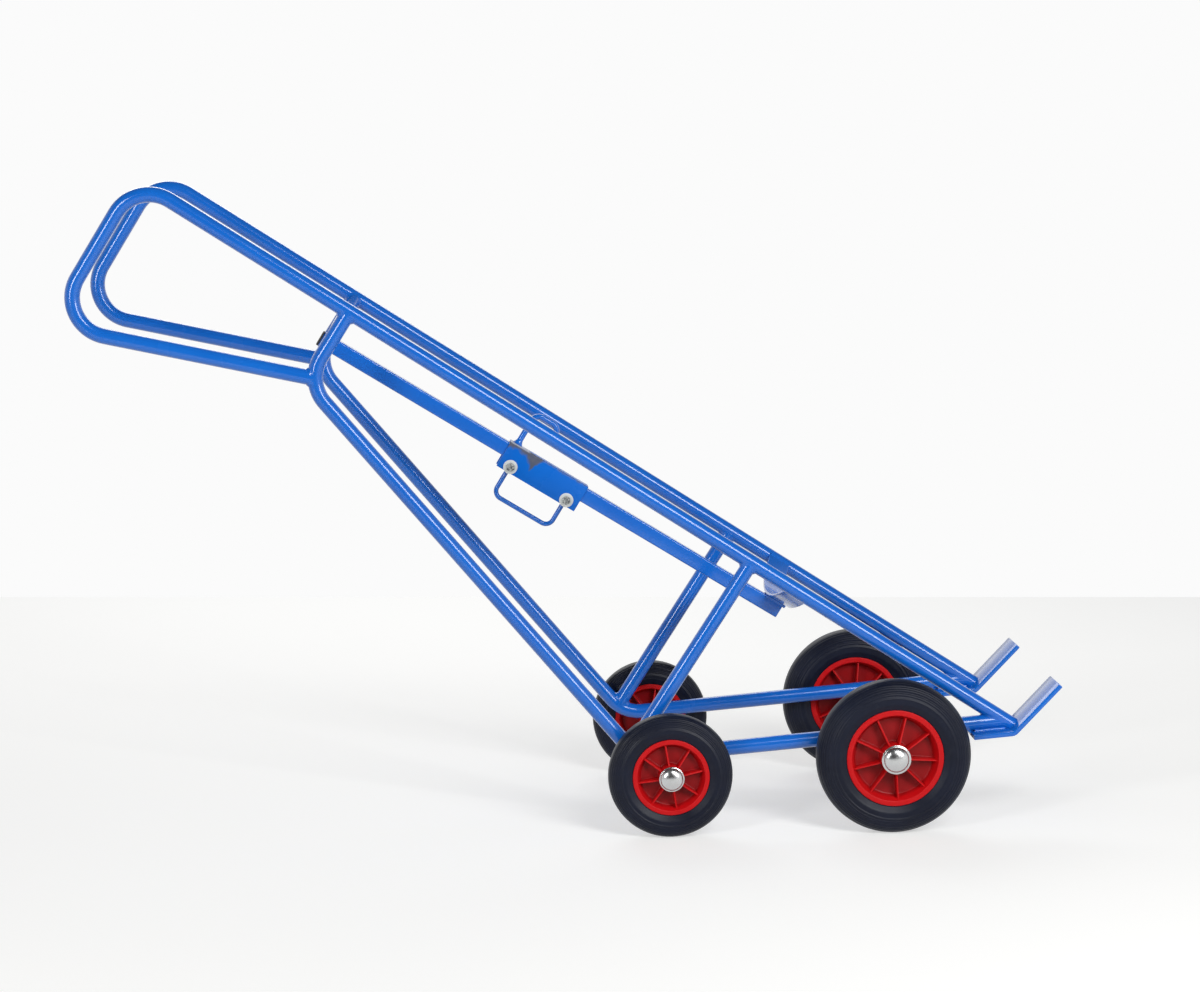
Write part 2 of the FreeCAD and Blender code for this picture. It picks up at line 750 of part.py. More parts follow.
def roller_bearing(kind, side):
    """Plain rollers in a slotted cage, between the axle and the bore of the wheel centre."""
    name = f"{kind}_{side}"
    length = f"({kind}_hub_length - 2 * cage_inset)"
    roller_length = f"({length} - 2 * roller_end_wall)"
    orbit = f"({kind}_axle_dia / 2 + bearing_play + {kind}_roller_dia / 2)"
    place = wheel_place(kind, side)
    cage = ring(f"{name}_cage_ring", f"{hub_bore(kind)} - cage_play", f"{kind}_axle_dia / 2 + cage_play",
                length, f"{place} * placement(vector(0; 0; -{length} / 2); rotationx(0))")
    rollers, pockets = [], []
    for number in range(SIZES[f"{kind}_roller_count"]):
        turn = f"placement(vector(0; 0; 0); rotationz({number} * 360 / {kind}_roller_count))"
        start = f"{place} * {turn} * placement(vector({orbit}; 0; -{roller_length} / 2); rotationx(0))"
        lower = f"{place} * {turn} * placement(vector({orbit}; 0; -({roller_length} / 2 + pocket_play));" \
                f" rotationx(0))"
        rollers.append(rod(f"{name}_roller_{number}", f"{kind}_roller_dia / 2", roller_length, start))
        pockets.append(rod(f"{name}_pocket_{number}", f"{kind}_roller_dia / 2 + pocket_play",
                           f"{roller_length} + 2 * pocket_play", lower))
    slotted = cut(f"{name}_cage", cage, *pockets)
    keep(f"{kind}_{side}_roller_bearing", group(f"{name}_bearing_set", [slotted] + rollers))


# Hook carriage

def bolt_place(end, y, turn):
    return at("carriage", x=f"{end} * bolt_spacing / 2", y=y, z="sleeve_z", turn=turn)


def carriage_channel():
    """A folded plate that rides over the rail, drilled for its two bolts."""
    body = new_body("channel_body", "carriage")
    low = "plate_top - carriage_height"
    sketch = body_sketch(body, "section", "YZ_Plane")
    outline(sketch, [
        ("-(plate_outer)", low),
        ("-(plate_inner)", low),
        ("-(plate_inner)", "slide_clearance"),
        ("plate_inner", "slide_clearance"),
        ("plate_inner", low),
        ("plate_outer", low),
        ("plate_outer", "plate_top", "carriage_bend"),
        ("-(plate_outer)", "plate_top", "carriage_bend"),
    ])
    pad(body, "fold", sketch, "carriage_length")
    holes = []
    for number, end in enumerate(SIDES.values()):
        place = bolt_place(end, "plate_outer + overrun", UPRIGHT)
        holes.append(rod(f"channel_hole_{number}", "bolt_dia / 2 + bolt_play",
                         "2 * (plate_outer + overrun)", place))
    keep("hook_carriage", cut("channel", body, *holes))


def carriage_fasteners():
    """Two bolts with a sleeve under the rail, a washer each side and a locking nut."""
    sleeves, bolts, washers, nuts = [], [], [], []
    stack = "(plate_outer + bolt_washer)"
    for number, end in enumerate(SIDES.values()):
        sleeve = "(plate_inner - sleeve_end_play)"
        sleeves.append(ring(f"sleeve_{number}", "sleeve_od / 2", "bolt_dia / 2 + bolt_play",
                            f"2 * {sleeve}", bolt_place(end, sleeve, UPRIGHT)))
        reach = f"({stack} + nut_height + nut_collar + thread_stub)"
        shank = rod(f"bolt_shank_{number}", "bolt_dia / 2", f"{stack} + {reach}",
                    bolt_place(end, reach, UPRIGHT))
        head = hexagon(f"bolt_head_{number}", "head_radius", "bolt_head",
                       bolt_place(end, f"-{stack}", UPRIGHT))
        bolts.append(fuse(f"bolt_{number}", shank, head))
        for side, sign in SIDES.items():
            washers.append(ring(f"bolt_washer_{number}_{side}", "bolt_washer_dia / 2",
                                "bolt_dia / 2 + bolt_play", "bolt_washer",
                                bolt_place(end, f"{sign} * plate_outer", OUTWARD[side])))
        nut_start = bolt_place(end, stack, OUTWARD["left"])
        nut = hexagon(f"nut_hex_{number}", "head_radius", "nut_height", nut_start)
        collar = rod(f"nut_collar_{number}", "nut_collar_dia / 2", "nut_height + nut_collar", nut_start)
        thread = rod(f"nut_bore_{number}", "bolt_dia / 2 + axle_fit", "nut_height + nut_collar", nut_start)
        nuts.append(cut(f"nut_{number}", fuse(f"nut_body_{number}", nut, collar), thread))
    keep("carriage_sleeves", group("sleeve_pair", sleeves))
    keep("carriage_bolts", group("bolt_pair", bolts))
    keep("carriage_washers", group("bolt_washer_set", washers))
    keep("carriage_nuts", group("nut_pair", nuts))


def pull_handle():
    """A bent rod whose ends are welded under the two sleeves."""
    low = "sleeve_z - pull_drop"
    spine = path("pull_path", "carriage", [
        ("-bolt_spacing / 2", "sleeve_z"),
        ("-bolt_spacing / 2", low, "pull_bend"),
        ("bolt_spacing / 2", low, "pull_bend"),
        ("bolt_spacing / 2", "sleeve_z"),
    ])
    bar = sweep("pull_bar", spine, "pull_rod / 2", at("carriage", x="-bolt_spacing / 2", z="sleeve_z"))
    spaces = []
    for number, end in enumerate(SIDES.values()):
        spaces.append(rod(f"sleeve_space_{number}", "sleeve_od / 2 + weld_gap", "2 * plate_inner",
                          bolt_place(end, "plate_inner", UPRIGHT)))
    keep("pull_handle", cut("pull", bar, *spaces))


def drum_hook():
    """A bent rod on the carriage that reaches over the drum's rim, with a flared foot."""
    foot_z, top_z = "(plate_top + weld_gap)", "hook_top"
    spine = path("hook_path", "carriage", [
        ("-hook_offset", foot_z),
        ("-hook_offset", top_z, "hook_bend"),
        ("hook_reach - hook_offset", top_z, "hook_bend"),
        ("hook_reach - hook_offset", f"{top_z} - hook_tip"),
    ])
    start = at("carriage", x="-hook_offset", z=foot_z)
    bar = sweep("hook_bar", spine, "hook_rod / 2", start)
    foot = doc.addObject("Part::Cone", "hook_foot")
    bind(foot, "Radius1", "hook_foot_dia / 2")
    bind(foot, "Radius2", "hook_rod / 2")
    bind(foot, "Height", "hook_foot_height")
    bind(foot, "Placement", start)
    tip = doc.addObject("Part::Sphere", "hook_tip_end")
    bind(tip, "Radius", "hook_rod / 2")
    bind(tip, "Placement", at("carriage", x="hook_reach - hook_offset", z=f"{top_z} - hook_tip"))
    keep("drum_hook", fuse("hook", fuse("hook_on_foot", bar, foot), tip))


def build():
    leg_spaces, main_spaces = {}, {}
    for side in SIDES:
        leg_spaces[side], main_spaces[side] = side_frame(side, toe_prong(side))
    cradle_strap(main_spaces.values())
    cross_tube(leg_spaces.values(), main_spaces.values())
    hook_rail()
    rail_plug()
    for kind in KINDS:
        axle(kind)
        axle_lugs(kind, leg_spaces)
        axle_collars(kind)
        axle_washers(kind)
        axle_caps(kind)
        for side in SIDES:
            wheel_centre(kind, side)
            tyre(kind, side)
            roller_bearing(kind, side)
    carriage_channel()
    carriage_fasteners()
    pull_handle()
    drum_hook()
    doc.recompute()


def check():
    """Stops before anything is written if an object failed or a sub-part isn't a sound solid."""
    for item in doc.Objects:
        if {"Invalid", "Error"} & set(item.State):
            raise RuntimeError(f"{item.Name} failed: {item.State}")
    for item in nodes:
        if item.Shape.isNull() or not item.Shape.isValid() or not item.Shape.Solids:
            raise RuntimeError(f"{item.Label} is not a sound solid")


def write():
    os.makedirs("parts", exist_ok=True)
    whole = FreeCAD.BoundBox()
    for item in nodes:
        item.Shape.exportStep(f"parts/{item.Label}.step")
        whole.add(item.Shape.optimalBoundingBox())
        print(f"{item.Label}: {len(item.Shape.Solids)} solids, {item.Shape.Volume / 1000:.1f} cm3")
    print("middle", round(whole.Center.x, 3), round(whole.Center.y, 3), "floor", round(whole.ZMin, 3))


fill_sheet()
build()
check()
write()
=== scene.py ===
import bpy
import numpy as np
from mathutils import Matrix


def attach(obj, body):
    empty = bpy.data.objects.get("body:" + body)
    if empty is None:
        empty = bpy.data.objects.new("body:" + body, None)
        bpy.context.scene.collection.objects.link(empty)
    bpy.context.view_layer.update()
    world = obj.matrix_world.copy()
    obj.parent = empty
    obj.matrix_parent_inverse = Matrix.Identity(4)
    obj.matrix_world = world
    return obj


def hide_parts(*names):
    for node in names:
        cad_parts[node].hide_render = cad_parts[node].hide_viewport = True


# A four-wheeled drum trolley. X points to the toe, Y to the left and Z up, and the wheels stand on Z = 0.
# Sizes are in millimetres until a mesh is made, and the mesh is in metres.
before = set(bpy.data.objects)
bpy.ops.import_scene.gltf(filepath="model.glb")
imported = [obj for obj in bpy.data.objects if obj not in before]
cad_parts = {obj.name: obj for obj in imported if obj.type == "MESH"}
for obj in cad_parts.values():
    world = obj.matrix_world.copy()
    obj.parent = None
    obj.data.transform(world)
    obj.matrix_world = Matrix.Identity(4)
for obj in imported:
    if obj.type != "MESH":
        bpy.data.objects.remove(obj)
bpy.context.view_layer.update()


# Side frames
# Two loops of 25 mm drawn steel tube, each bent on a former from three lengths: a main tube with the handle,
# a leg tube that comes forward under the load, and a strut. Their ends are coped to sit on one another.

HALF_SPACING = 169.0
TUBE_RADIUS = 12.5
TUBE_BEND = 62.0
SIDES = {"left": 1, "right": -1}


def settle(points, base, shift=0.0):
    """Points of a datum, a place (x0, z0) and a turn a about Y, in the trolley's axes.

    X = x0 + x cos a + z sin a, Z = z0 - x sin a + z cos a. A shift moves them in Y.
    """
    (x0, z0), angle = base
    x, y, z = np.moveaxis(np.asarray(points, float), -1, 0)
    across = x0 + x * np.cos(angle) + z * np.sin(angle)
    return np.stack([across, y + shift, z0 - x * np.sin(angle) + z * np.cos(angle)], axis=-1)


TOE = (713.5, 171.234)
CRADLE = (TOE, np.radians(32.7))
CHASSIS = (TOE, np.radians(-4.77935))


def bend_at(before, corner, after, radius, steps):
    """The arc that touches both runs of a corner: its points, and the heading at each.

    The arc starts the setback radius * tan(half the turn) before the corner, and its centre lies a
    radius to the inside of the first run.
    """
    first = np.arctan2(*(corner - before)[::-1])
    turn = (np.arctan2(*(after - corner)[::-1]) - first + np.pi) % (2 * np.pi) - np.pi
    heading = first + turn * np.linspace(0, 1, steps)
    inward = np.sign(turn) * radius
    setback = abs(inward * np.tan(turn / 2))
    start = corner - setback * np.array([np.cos(first), np.sin(first)])
    centre = start + inward * np.array([-np.sin(first), np.cos(first)])
    return centre - inward * np.stack([-np.sin(heading), np.cos(heading)], axis=-1), heading


def bent_line(corners, radius, steps=24):
    """The centre line of a bent tube or rod: straight runs with an arc at each inner corner.

    Returns the points and the heading at each point.
    """
    corners = np.asarray(corners, float)
    first, last = corners[1] - corners[0], corners[-1] - corners[-2]
    points, headings = [corners[:1]], [[np.arctan2(first[1], first[0])]]
    for before, corner, after in zip(corners[:-2], corners[1:-1], corners[2:]):
        arc, heading = bend_at(before, corner, after, radius, steps)
        points.append(arc)
        headings.append(heading)
    points.append(corners[-1:])
    headings.append([np.arctan2(last[1], last[0])])
    return np.concatenate(points), np.concatenate(headings)


def round_bar(line, radius, columns=48):
    """A circle carried along a line in an upright plane: p + r cos(a) normal + r sin(a) Y.

    The radius is one number, or one for each point of the line.
    """
    points, heading = line
    angle = np.linspace(0, 2 * np.pi, columns, endpoint=False)
    reach = np.broadcast_to(radius, heading.shape)[:, None]
    x = points[:, :1] - reach * np.sin(heading)[:, None] * np.cos(angle)
    z = points[:, 1:] + reach * np.cos(heading)[:, None] * np.cos(angle)
    return np.stack([x, reach * np.sin(angle), z], axis=-1)


def shell(grid, looped=False):
    """Points and faces of a closed surface from a grid of points (rows, columns, 3).

    The columns close on themselves. The rows close too where looped, and otherwise end in flat faces.
    The faces are turned round where their signed volume, the sum of a . (b x c) / 6, is negative.
    """
    rows, columns = grid.shape[:2]
    index = np.arange(rows * columns).reshape(rows, columns)
    here = index if looped else index[:-1]
    ahead = np.roll(index, -1, axis=0) if looped else index[1:]
    quads = np.stack([here, ahead, np.roll(ahead, -1, axis=1), np.roll(here, -1, axis=1)], axis=-1)
    quads = quads.reshape(-1, 4)
    ends = [] if looped else [index[0], index[-1][::-1]]
    fans = [np.stack([np.full(columns - 2, end[0]), end[1:-1], end[2:]], axis=-1) for end in ends]
    corners = np.concatenate([quads[:, :3], quads[:, [0, 2, 3]], *fans])
    points = grid.reshape(-1, 3)
    a, b, c = np.moveaxis((points - points.mean(axis=0))[corners], 1, 0)
    step = 1 if np.sum(a * np.cross(b, c)) > 0 else -1
    return points, [face[::step] for face in quads.tolist() + [end.tolist() for end in ends]]


def skin(name, shells, coat, body, *stands_for, crease=38):
    """One object from closed shells, in metres, smooth except at edges sharper than the crease in degrees.

    The coat is a material and the name of a slot; the slot is not used here.
    """
    material, slot = coat
    points, faces, start = [], [], 0
    for shell_points, shell_faces in shells:
        points.append(shell_points)
        faces += [[corner + start for corner in face] for face in shell_faces]
        start += len(shell_points)
    mesh = bpy.data.meshes.new(name)
    mesh.from_pydata((np.concatenate(points) / 1000).tolist(), [], faces)
    mesh.shade_smooth()
    mesh.set_sharp_from_angle(angle=np.radians(crease))
    mesh.materials.append(material)
    piece = bpy.data.objects.new(name, mesh)
    bpy.context.scene.collection.objects.link(piece)
    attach(piece, body)
    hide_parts(*stands_for)


def linear(code):
    """An sRGB hex colour as linear red, green, blue and alpha."""
    part = np.array([int(code[place:place + 2], 16) for place in (1, 3, 5)]) / 255
    curve = np.where(part <= 0.04045, part / 12.92, ((part + 0.055) / 1.055) ** 2.4)
    return (*curve.tolist(), 1.0)


def node(tree, kind, feeds, **settings):
    """Adds a shader node with its settings, sets or links each input by its name or number, and gives the
    node's outputs."""
    made = tree.nodes.new("ShaderNode" + kind)
    for key, setting in settings.items():
        setattr(made, key, setting)
    for key, feed in feeds.items():
        if isinstance(feed, bpy.types.NodeSocket):
            tree.links.new(feed, made.inputs[key])
        else:
            made.inputs[key].default_value = feed
    return made.outputs


def finish(name, slot, even, recipe, *noises):
    """A material and its slot: one shader, with even values set on its own sockets and a recipe for the rest.

    Each noise is given by its size in millimetres and its detail. The recipe takes the node tree and the
    noises, and gives a socket for each linked input.
    """
    material = bpy.data.materials.new(name)
    material.use_nodes = True
    tree = material.node_tree
    shader = tree.nodes["Principled BSDF"]
    for key, setting in even.items():
        shader.inputs[key].default_value = setting
    place = node(tree, "TexCoord", {})["Object"]
    patterns = [node(tree, "TexNoise", {"Vector": place, "Scale": 1000 / size, "Detail": detail})[0]
                for size, detail in noises]
    for key, socket in recipe(tree, *patterns).items():
        tree.links.new(socket, shader.inputs[key])
    return material, slot


def surface(tree, tint, tones, haze, gloss, grain, relief):
    """The sockets that the finishes share: two tones mixed by a tint, roughness from a haze, and a bump.

    Gloss is the haze's low and high and the roughness at each. Relief is the strength of the grain's bump
    and its height in metres.
    """
    colour = node(tree, "Mix", {0: tint, 6: linear(tones[0]), 7: linear(tones[1])}, data_type="RGBA")[2]
    rough = node(tree, "MapRange", dict(enumerate((haze, *gloss))))[0]
    bump = node(tree, "Bump", {"Strength": relief[0], "Distance": relief[1], "Height": grain})[0]
    return {"Base Color": colour, "Roughness": rough, "Normal": bump}


def enamel(tree, drift, haze, peel):
    """Sprayed and stoved gloss paint: slow drifts of depth from the spray passes, a faint orange peel under
    the gloss, and a haze of handling. Real peel is about 1.5 mm from crest to crest, and is drawn at 4 mm so
    that it shows."""
    return surface(tree, drift, ("#095FC2", "#106FD2"), haze, (0.3, 0.75, 0.2, 0.34), peel, (0.02, 0.0004))


# Stove enamel gives a deep, even blue, with a hard white highlight along each tube on top of a softer one.
GLOSS = {"IOR": 1.5, "Specular IOR Level": 0.15, "Coat Weight": 1.0, "Coat Roughness": 0.15}
SPRAY = [(120, 2.0), (35, 4.0), (4, 1.0)]
blue_enamel = finish("stove_enamel_gloss_blue", "blue_paint", GLOSS, enamel, *SPRAY)

LEG_X, STRUT_X = -1267.0, -500.0
main_corners = [(17.0, 0.0), (-1661.0, 0.0), (-1657.0, -270.0), (-1256.701, -119.385)]
main_line = bent_line(main_corners, TUBE_BEND)
leg_corners = [(LEG_X, 0.0), (LEG_X, -131.0), (-484.037, -371.138), (0.0, 0.0)]
leg_line = bent_line(leg_corners, TUBE_BEND)
strut_line = bent_line([(STRUT_X, 0.0), (STRUT_X, -363.242)], TUBE_BEND)
for side, sign in SIDES.items():
    for label, line in (("main_tube", main_line), ("leg_tube", leg_line), ("strut", strut_line)):
        grid = settle(round_bar(line, TUBE_RADIUS), CRADLE, sign * HALF_SPACING)
        skin(f"{label}_{side}", [shell(grid)], blue_enamel, "frame", f"{side}_{label}")


# Frame welds
# A gas-shielded fillet about 4 mm on the leg closes each coped end, run right round and painted over with
# the tubes, so it shows as a soft rolled edge with slow ripples.

RIPPLE_PITCH, RIPPLE_LIFT = 4.0, 0.15
WELD_SINK, WELD_ROOT = 0.3, 2.0
RUN_UP = 60.0
SEARCH_LENGTH, HOST_STRETCH = 110.0, 150.0


def evenly(line, step=1.0):
    """Points at an even step along a line, by its length."""
    length = np.concatenate([[0.0], np.cumsum(np.linalg.norm(np.diff(line, axis=0), axis=1))])
    stops = np.linspace(0, length[-1], int(length[-1] / step) + 2)
    return np.stack([np.interp(stops, length, axis) for axis in line.T], axis=-1)


def unit(vectors):
    """Vectors of the same headings with a length of 1."""
    return vectors / np.linalg.norm(vectors, axis=-1, keepdims=True)


def fillet_run(corner, toe_a, toe_b, out):
    """Sections of a fillet weld along a line of corners, from its toe on one surface to its toe on the other.

    (1 - t)^2 a + 2 t (1 - t) m + t^2 b, with m three quarters of the way from the corner to the middle of
    the toes. The toes and the root sink into the metal, and ripples lift the face.
    """
    length = np.cumsum(np.linalg.norm(np.diff(corner, axis=0, prepend=corner[-1:]), axis=1))
    pitch = length[-1] / max(1, round(length[-1] / RIPPLE_PITCH))
    ripple = RIPPLE_LIFT * np.cos(2 * np.pi * length / pitch)[:, None, None]
    t = np.linspace(0, 1, 9)[:, None]
    arch = 4 * t * (1 - t)
    middle = corner + 0.75 * ((toe_a + toe_b) / 2 - corner)
    face = (1 - t) ** 2 * toe_a[:, None] + arch / 2 * middle[:, None] + t ** 2 * toe_b[:, None]
    face = face + ((WELD_SINK + ripple) * arch - WELD_SINK) * out[:, None]
    return np.concatenate([face, (corner - WELD_ROOT * out)[:, None]], axis=1)


def seam(corner, way_a, way_b, way_out, leg):
    """A fillet weld along a straight seam, whose toes lie a leg away in two fixed directions."""
    a, b, out = (np.broadcast_to(unit(np.array(way, float)), corner.shape) for way in (way_a, way_b, way_out))
    return fillet_run(corner, corner + leg * a, corner + leg * b, out)


def nearest(points, line):
    """The point of a line that lies nearest to each point."""
    return line[np.argmin(np.linalg.norm(points[:, None] - line, axis=-1), axis=1)]


def tube_weld(host, host_radius, start, heading, radius, leg=4.0):
    """The weld round a tube's end: lines along the branch, from points round it, each followed by thirds of a
    millimetre to where its distance from the host's centre line comes down to the host's radius."""
    heading = unit(np.asarray(heading, float))
    start = np.asarray(start, float)
    across = unit(np.cross(heading, np.eye(3)[np.argmin(np.abs(heading))]))
    angle = np.linspace(0, 2 * np.pi, 72, endpoint=False)[:, None]
    radial = np.cos(angle) * across + np.sin(angle) * np.cross(heading, across)
    reach = np.linspace(0, SEARCH_LENGTH, round(3 * SEARCH_LENGTH) + 1)
    near = host[np.linalg.norm(host - start, axis=1) < HOST_STRETCH]
    probe = (start + 0.985 * radius * radial)[:, None] + reach[:, None] * heading
    square = np.sum(probe ** 2, axis=-1)[..., None] + np.sum(near ** 2, axis=-1) - 2 * probe @ near.T
    gap = np.sqrt(square.min(axis=-1)) - host_radius
    first = np.maximum(np.argmax(gap < 0, axis=1), 1)[:, None]
    outer, inner = (np.take_along_axis(gap, place, axis=1)[:, 0] for place in (first - 1, first))
    meet = reach[first[:, 0] - 1] + reach[1] * outer / (outer - inner)
    meet = np.mean([np.roll(meet, shift) for shift in range(-2, 3)], axis=0)
    corner = start + radius * radial + meet[:, None] * heading
    normal = unit(corner - nearest(corner, near))
    away = unit(np.cross(normal, np.roll(corner, -1, axis=0) - np.roll(corner, 1, axis=0)))
    away *= np.sign(np.sum(away * radial))
    toe = corner + leg * away
    middle = nearest(toe, near)
    toe = middle + host_radius * unit(toe - middle)
    return fillet_run(corner, corner - leg * heading, toe, unit(radial + normal))


def in_plane(line):
    """A line of the upright plane as points with Y = 0."""
    return np.insert(evenly(line[0]), 1, 0.0, axis=1)


main_centre, leg_centre = in_plane(main_line), in_plane(leg_line)
chassis_heading = -unit(np.array([leg_corners[2][0], 0.0, leg_corners[2][1]]))
return_x, return_z = np.subtract(main_corners[3], main_corners[2])
return_heading = unit(np.array([return_x, 0.0, return_z]))
return_start = np.array([main_corners[3][0], 0.0, main_corners[3][1]]) - RUN_UP * return_heading

# Each join has its host's centre line, a place on the branch well before its end, and the branch's heading.
# The low tube comes in at a slant, so its place is further back.
joins = [
    (main_centre, (LEG_X, 0.0, -RUN_UP), (0, 0, 1)),
    (main_centre, -1.25 * RUN_UP * chassis_heading, chassis_heading),
    (main_centre, (STRUT_X, 0.0, -RUN_UP), (0, 0, 1)),
    (leg_centre, (STRUT_X, 0.0, -310.0), (0, 0, -1)),
    (leg_centre, return_start, return_heading),
]
frame_welds = [tube_weld(host, TUBE_RADIUS, start, heading, TUBE_RADIUS) for host, start, heading in joins]
for side, sign in SIDES.items():
    beads = [shell(settle(bead, CRADLE, sign * HALF_SPACING), looped=True) for bead in frame_welds]
    skin(f"frame_welds_{side}", beads, blue_enamel, "frame")


# Toe prongs
# Two flat bars of 70 x 8 mm steel under the fronts of the low tubes, pressed up at the front where the rim of
# the load stands, with sawn and dressed edges. Each is welded along both sides of its tube.

PRONG_THICKNESS, PRONG_WIDTH = 8.0, 70.0
PRONG_TAIL, PRONG_REACH = 69.0, 111.0
PRONG_FOLD, PRONG_TURN = np.array([7.2, -12.7]), np.radians(41.6)


def rounded_loop(corners, radii, steps=7):
    """A closed outline: straight runs with an arc at each corner that has a radius, and sharp at the rest."""
    corners = np.asarray(corners, float)
    around = zip(np.roll(corners, 1, axis=0), corners, np.roll(corners, -1, axis=0), radii)
    return np.concatenate([
        bend_at(before, corner, after, radius, steps)[0] if radius else corner[None]
        for before, corner, after, radius in around])


def drawn_in(loop, depth):
    """A closed outline moved inwards by a depth along its normals."""
    run = unit(np.roll(loop, -1, axis=0) - np.roll(loop, 1, axis=0))
    following = np.roll(loop, -1, axis=0)
    turning = np.sign(np.sum(loop[:, 0] * following[:, 1] - loop[:, 1] * following[:, 0]))
    return loop + turning * depth * np.stack([-run[:, 1], run[:, 0]], axis=-1)


def plate(loop, low, high, edge):
    """An upright outline carried from low to high in Y, drawn in at both faces for an eased edge."""
    stops = [(low, edge), (low + 0.3 * edge, 0.3 * edge), (low + edge, 0.0),
             (high - edge, 0.0), (high - 0.3 * edge, 0.3 * edge), (high, edge)]
    return np.stack([np.insert(drawn_in(loop, depth), 1, y, axis=1) for y, depth in stops])


heel = PRONG_FOLD + PRONG_THICKNESS * np.array([np.tan(PRONG_TURN / 2), -1.0])
tip = heel + PRONG_REACH * np.array([np.cos(PRONG_TURN), np.sin(PRONG_TURN)])
tip_top = tip + PRONG_THICKNESS * np.array([-np.sin(PRONG_TURN), np.cos(PRONG_TURN)])
tail = heel - (PRONG_TAIL, 0.0)
prong_loop = rounded_loop([tail, heel, tip, tip_top, PRONG_FOLD, tail + (0.0, PRONG_THICKNESS)],
                          [1.5, 16.0, 2.0, 2.0, 8.0, 1.5])
side_seam = np.linspace((-52.0, 3.0, -12.6), (-2.0, 3.0, -12.6), 26)
tail_y = np.linspace(-8.0, 8.0, 12)
tail_seam = np.stack([np.full(12, tail[0]), tail_y, -np.sqrt(TUBE_RADIUS ** 2 - tail_y ** 2)], axis=-1)
for side, sign in SIDES.items():
    bar = settle(plate(prong_loop, -PRONG_WIDTH / 2, PRONG_WIDTH / 2, 1.2), CHASSIS, sign * HALF_SPACING)
    skin(f"toe_prong_{side}", [shell(bar)], blue_enamel, "frame", f"{side}_toe_prong")
    runs = [seam(side_seam * (1, face, 1), (0, face, 0), (0, 0.83 * face, 0.55), (0, -0.2 * face, 0.98), 7.5)
            for face in (1, -1)]
    runs.append(seam(tail_seam, (-1, 0, 0), (0, 0, -1), (-0.7, 0, -0.7), 6.0))
    beads = [shell(settle(run, CHASSIS, sign * HALF_SPACING)) for run in runs]
    skin(f"prong_welds_{side}", beads, blue_enamel, "frame")


# Cradle strap and cross tube
# A 40 x 5 mm flat strap and a 22 mm tube, both rolled to the curve of the load they carry and welded between
# the main tubes. They hold the side frames apart.

CRADLE_RADIUS = 292.0
CRADLE_AXIS = 252.0968
STRAP_X, STRAP_HALF, STRAP_THICKNESS = -400.0, 20.0, 5.0
CROSS_X, CROSS_RADIUS, CROSS_RUN_UP = LEG_X, 11.0, 55.0


def rounded_box(low, high, radius, steps=7):
    """A rectangle between two corners as a closed outline, with the same rounding at all four."""
    (left, under), (right, over) = low, high
    return rounded_loop([(left, under), (right, under), (right, over), (left, over)], [radius] * 4, steps)


def rolled(loop, x, half_turn, rows=64):
    """A section of (x, radius) pairs carried round the cradle's axis: Y = r sin(a), Z = axis - r cos(a)."""
    angle = np.linspace(-half_turn, half_turn, rows)[:, None]
    y, z = loop[:, 1] * np.sin(angle), CRADLE_AXIS - loop[:, 1] * np.cos(angle)
    return np.stack([np.broadcast_to(x + loop[:, 0], y.shape), y, z], axis=-1)


strap_low, strap_high = CRADLE_RADIUS + STRAP_THICKNESS, CRADLE_RADIUS
strap_loop = rounded_box((-STRAP_HALF, strap_high), (STRAP_HALF, strap_low), 1.4)
strap_turn = np.arcsin((HALF_SPACING - TUBE_RADIUS / 2) / (CRADLE_RADIUS + STRAP_THICKNESS / 2))
strap = rolled(strap_loop, STRAP_X, strap_turn)
skin("cradle_strap", [shell(settle(strap, CRADLE))], blue_enamel, "frame", "lower_cradle_strap")

cross_middle = CRADLE_RADIUS + CROSS_RADIUS
cross_turn = np.arcsin(HALF_SPACING / cross_middle)
around = np.linspace(0, 2 * np.pi, 40, endpoint=False)
cross_loop = np.stack([CROSS_RADIUS * np.cos(around), cross_middle + CROSS_RADIUS * np.sin(around)], axis=-1)
cross = rolled(cross_loop, CROSS_X, cross_turn)
skin("cross_tube", [shell(settle(cross, CRADLE))], blue_enamel, "frame", "upper_cross_tube")

strap_seam = np.linspace((STRAP_X + 1 - STRAP_HALF, 0, 0), (STRAP_X + STRAP_HALF - 1, 0, 0), 20)
cradle_welds = []
for sign in SIDES.values():
    cross_heading = np.array([0.0, sign * np.cos(cross_turn), np.sin(cross_turn)])
    cross_start = (CROSS_X, sign * HALF_SPACING, 0.0) - CROSS_RUN_UP * cross_heading
    host = main_centre + (0.0, sign * HALF_SPACING, 0.0)
    cross_weld = tube_weld(host, TUBE_RADIUS, cross_start, cross_heading, CROSS_RADIUS)
    cradle_welds.append(shell(settle(cross_weld, CRADLE), looped=True))
    for radius, face in ((strap_low, -1), (strap_high, 1)):
        y = HALF_SPACING - TUBE_RADIUS + 0.3
        corner = strap_seam + (0, sign * y, CRADLE_AXIS - np.sqrt(radius ** 2 - y ** 2))
        run = seam(corner, (0, -0.85 * sign, -0.52), (0, 0.15 * sign * face, face),
                   (0, -0.6 * sign, 0.8 * face), 4.0)
        cradle_welds.append(shell(settle(run, CRADLE)))
skin("cradle_welds", cradle_welds, blue_enamel, "frame")


# Hook rail
# A length of 25 mm square steel tube with a 2 mm wall, sawn to length and welded under the strap and the
# cross tube. A moulded plastic plug is pressed into its upper end.

def datum(base, along, up, turn):
    """A place in the upright plane of another datum, turned about Y by degrees that lower its front."""
    (x, z), angle = base
    place = (x + along * np.cos(angle) + up * np.sin(angle), z - along * np.sin(angle) + up * np.cos(angle))
    return place, angle + np.radians(turn)


RAIL = datum(CRADLE, -380.0, -45.1032, -1.09798)
RAIL_HALF, RAIL_WALL, SAWN_EDGE = 12.5, 2.0, 0.4
LOW_END, TOP_END = -5.0, -900.0


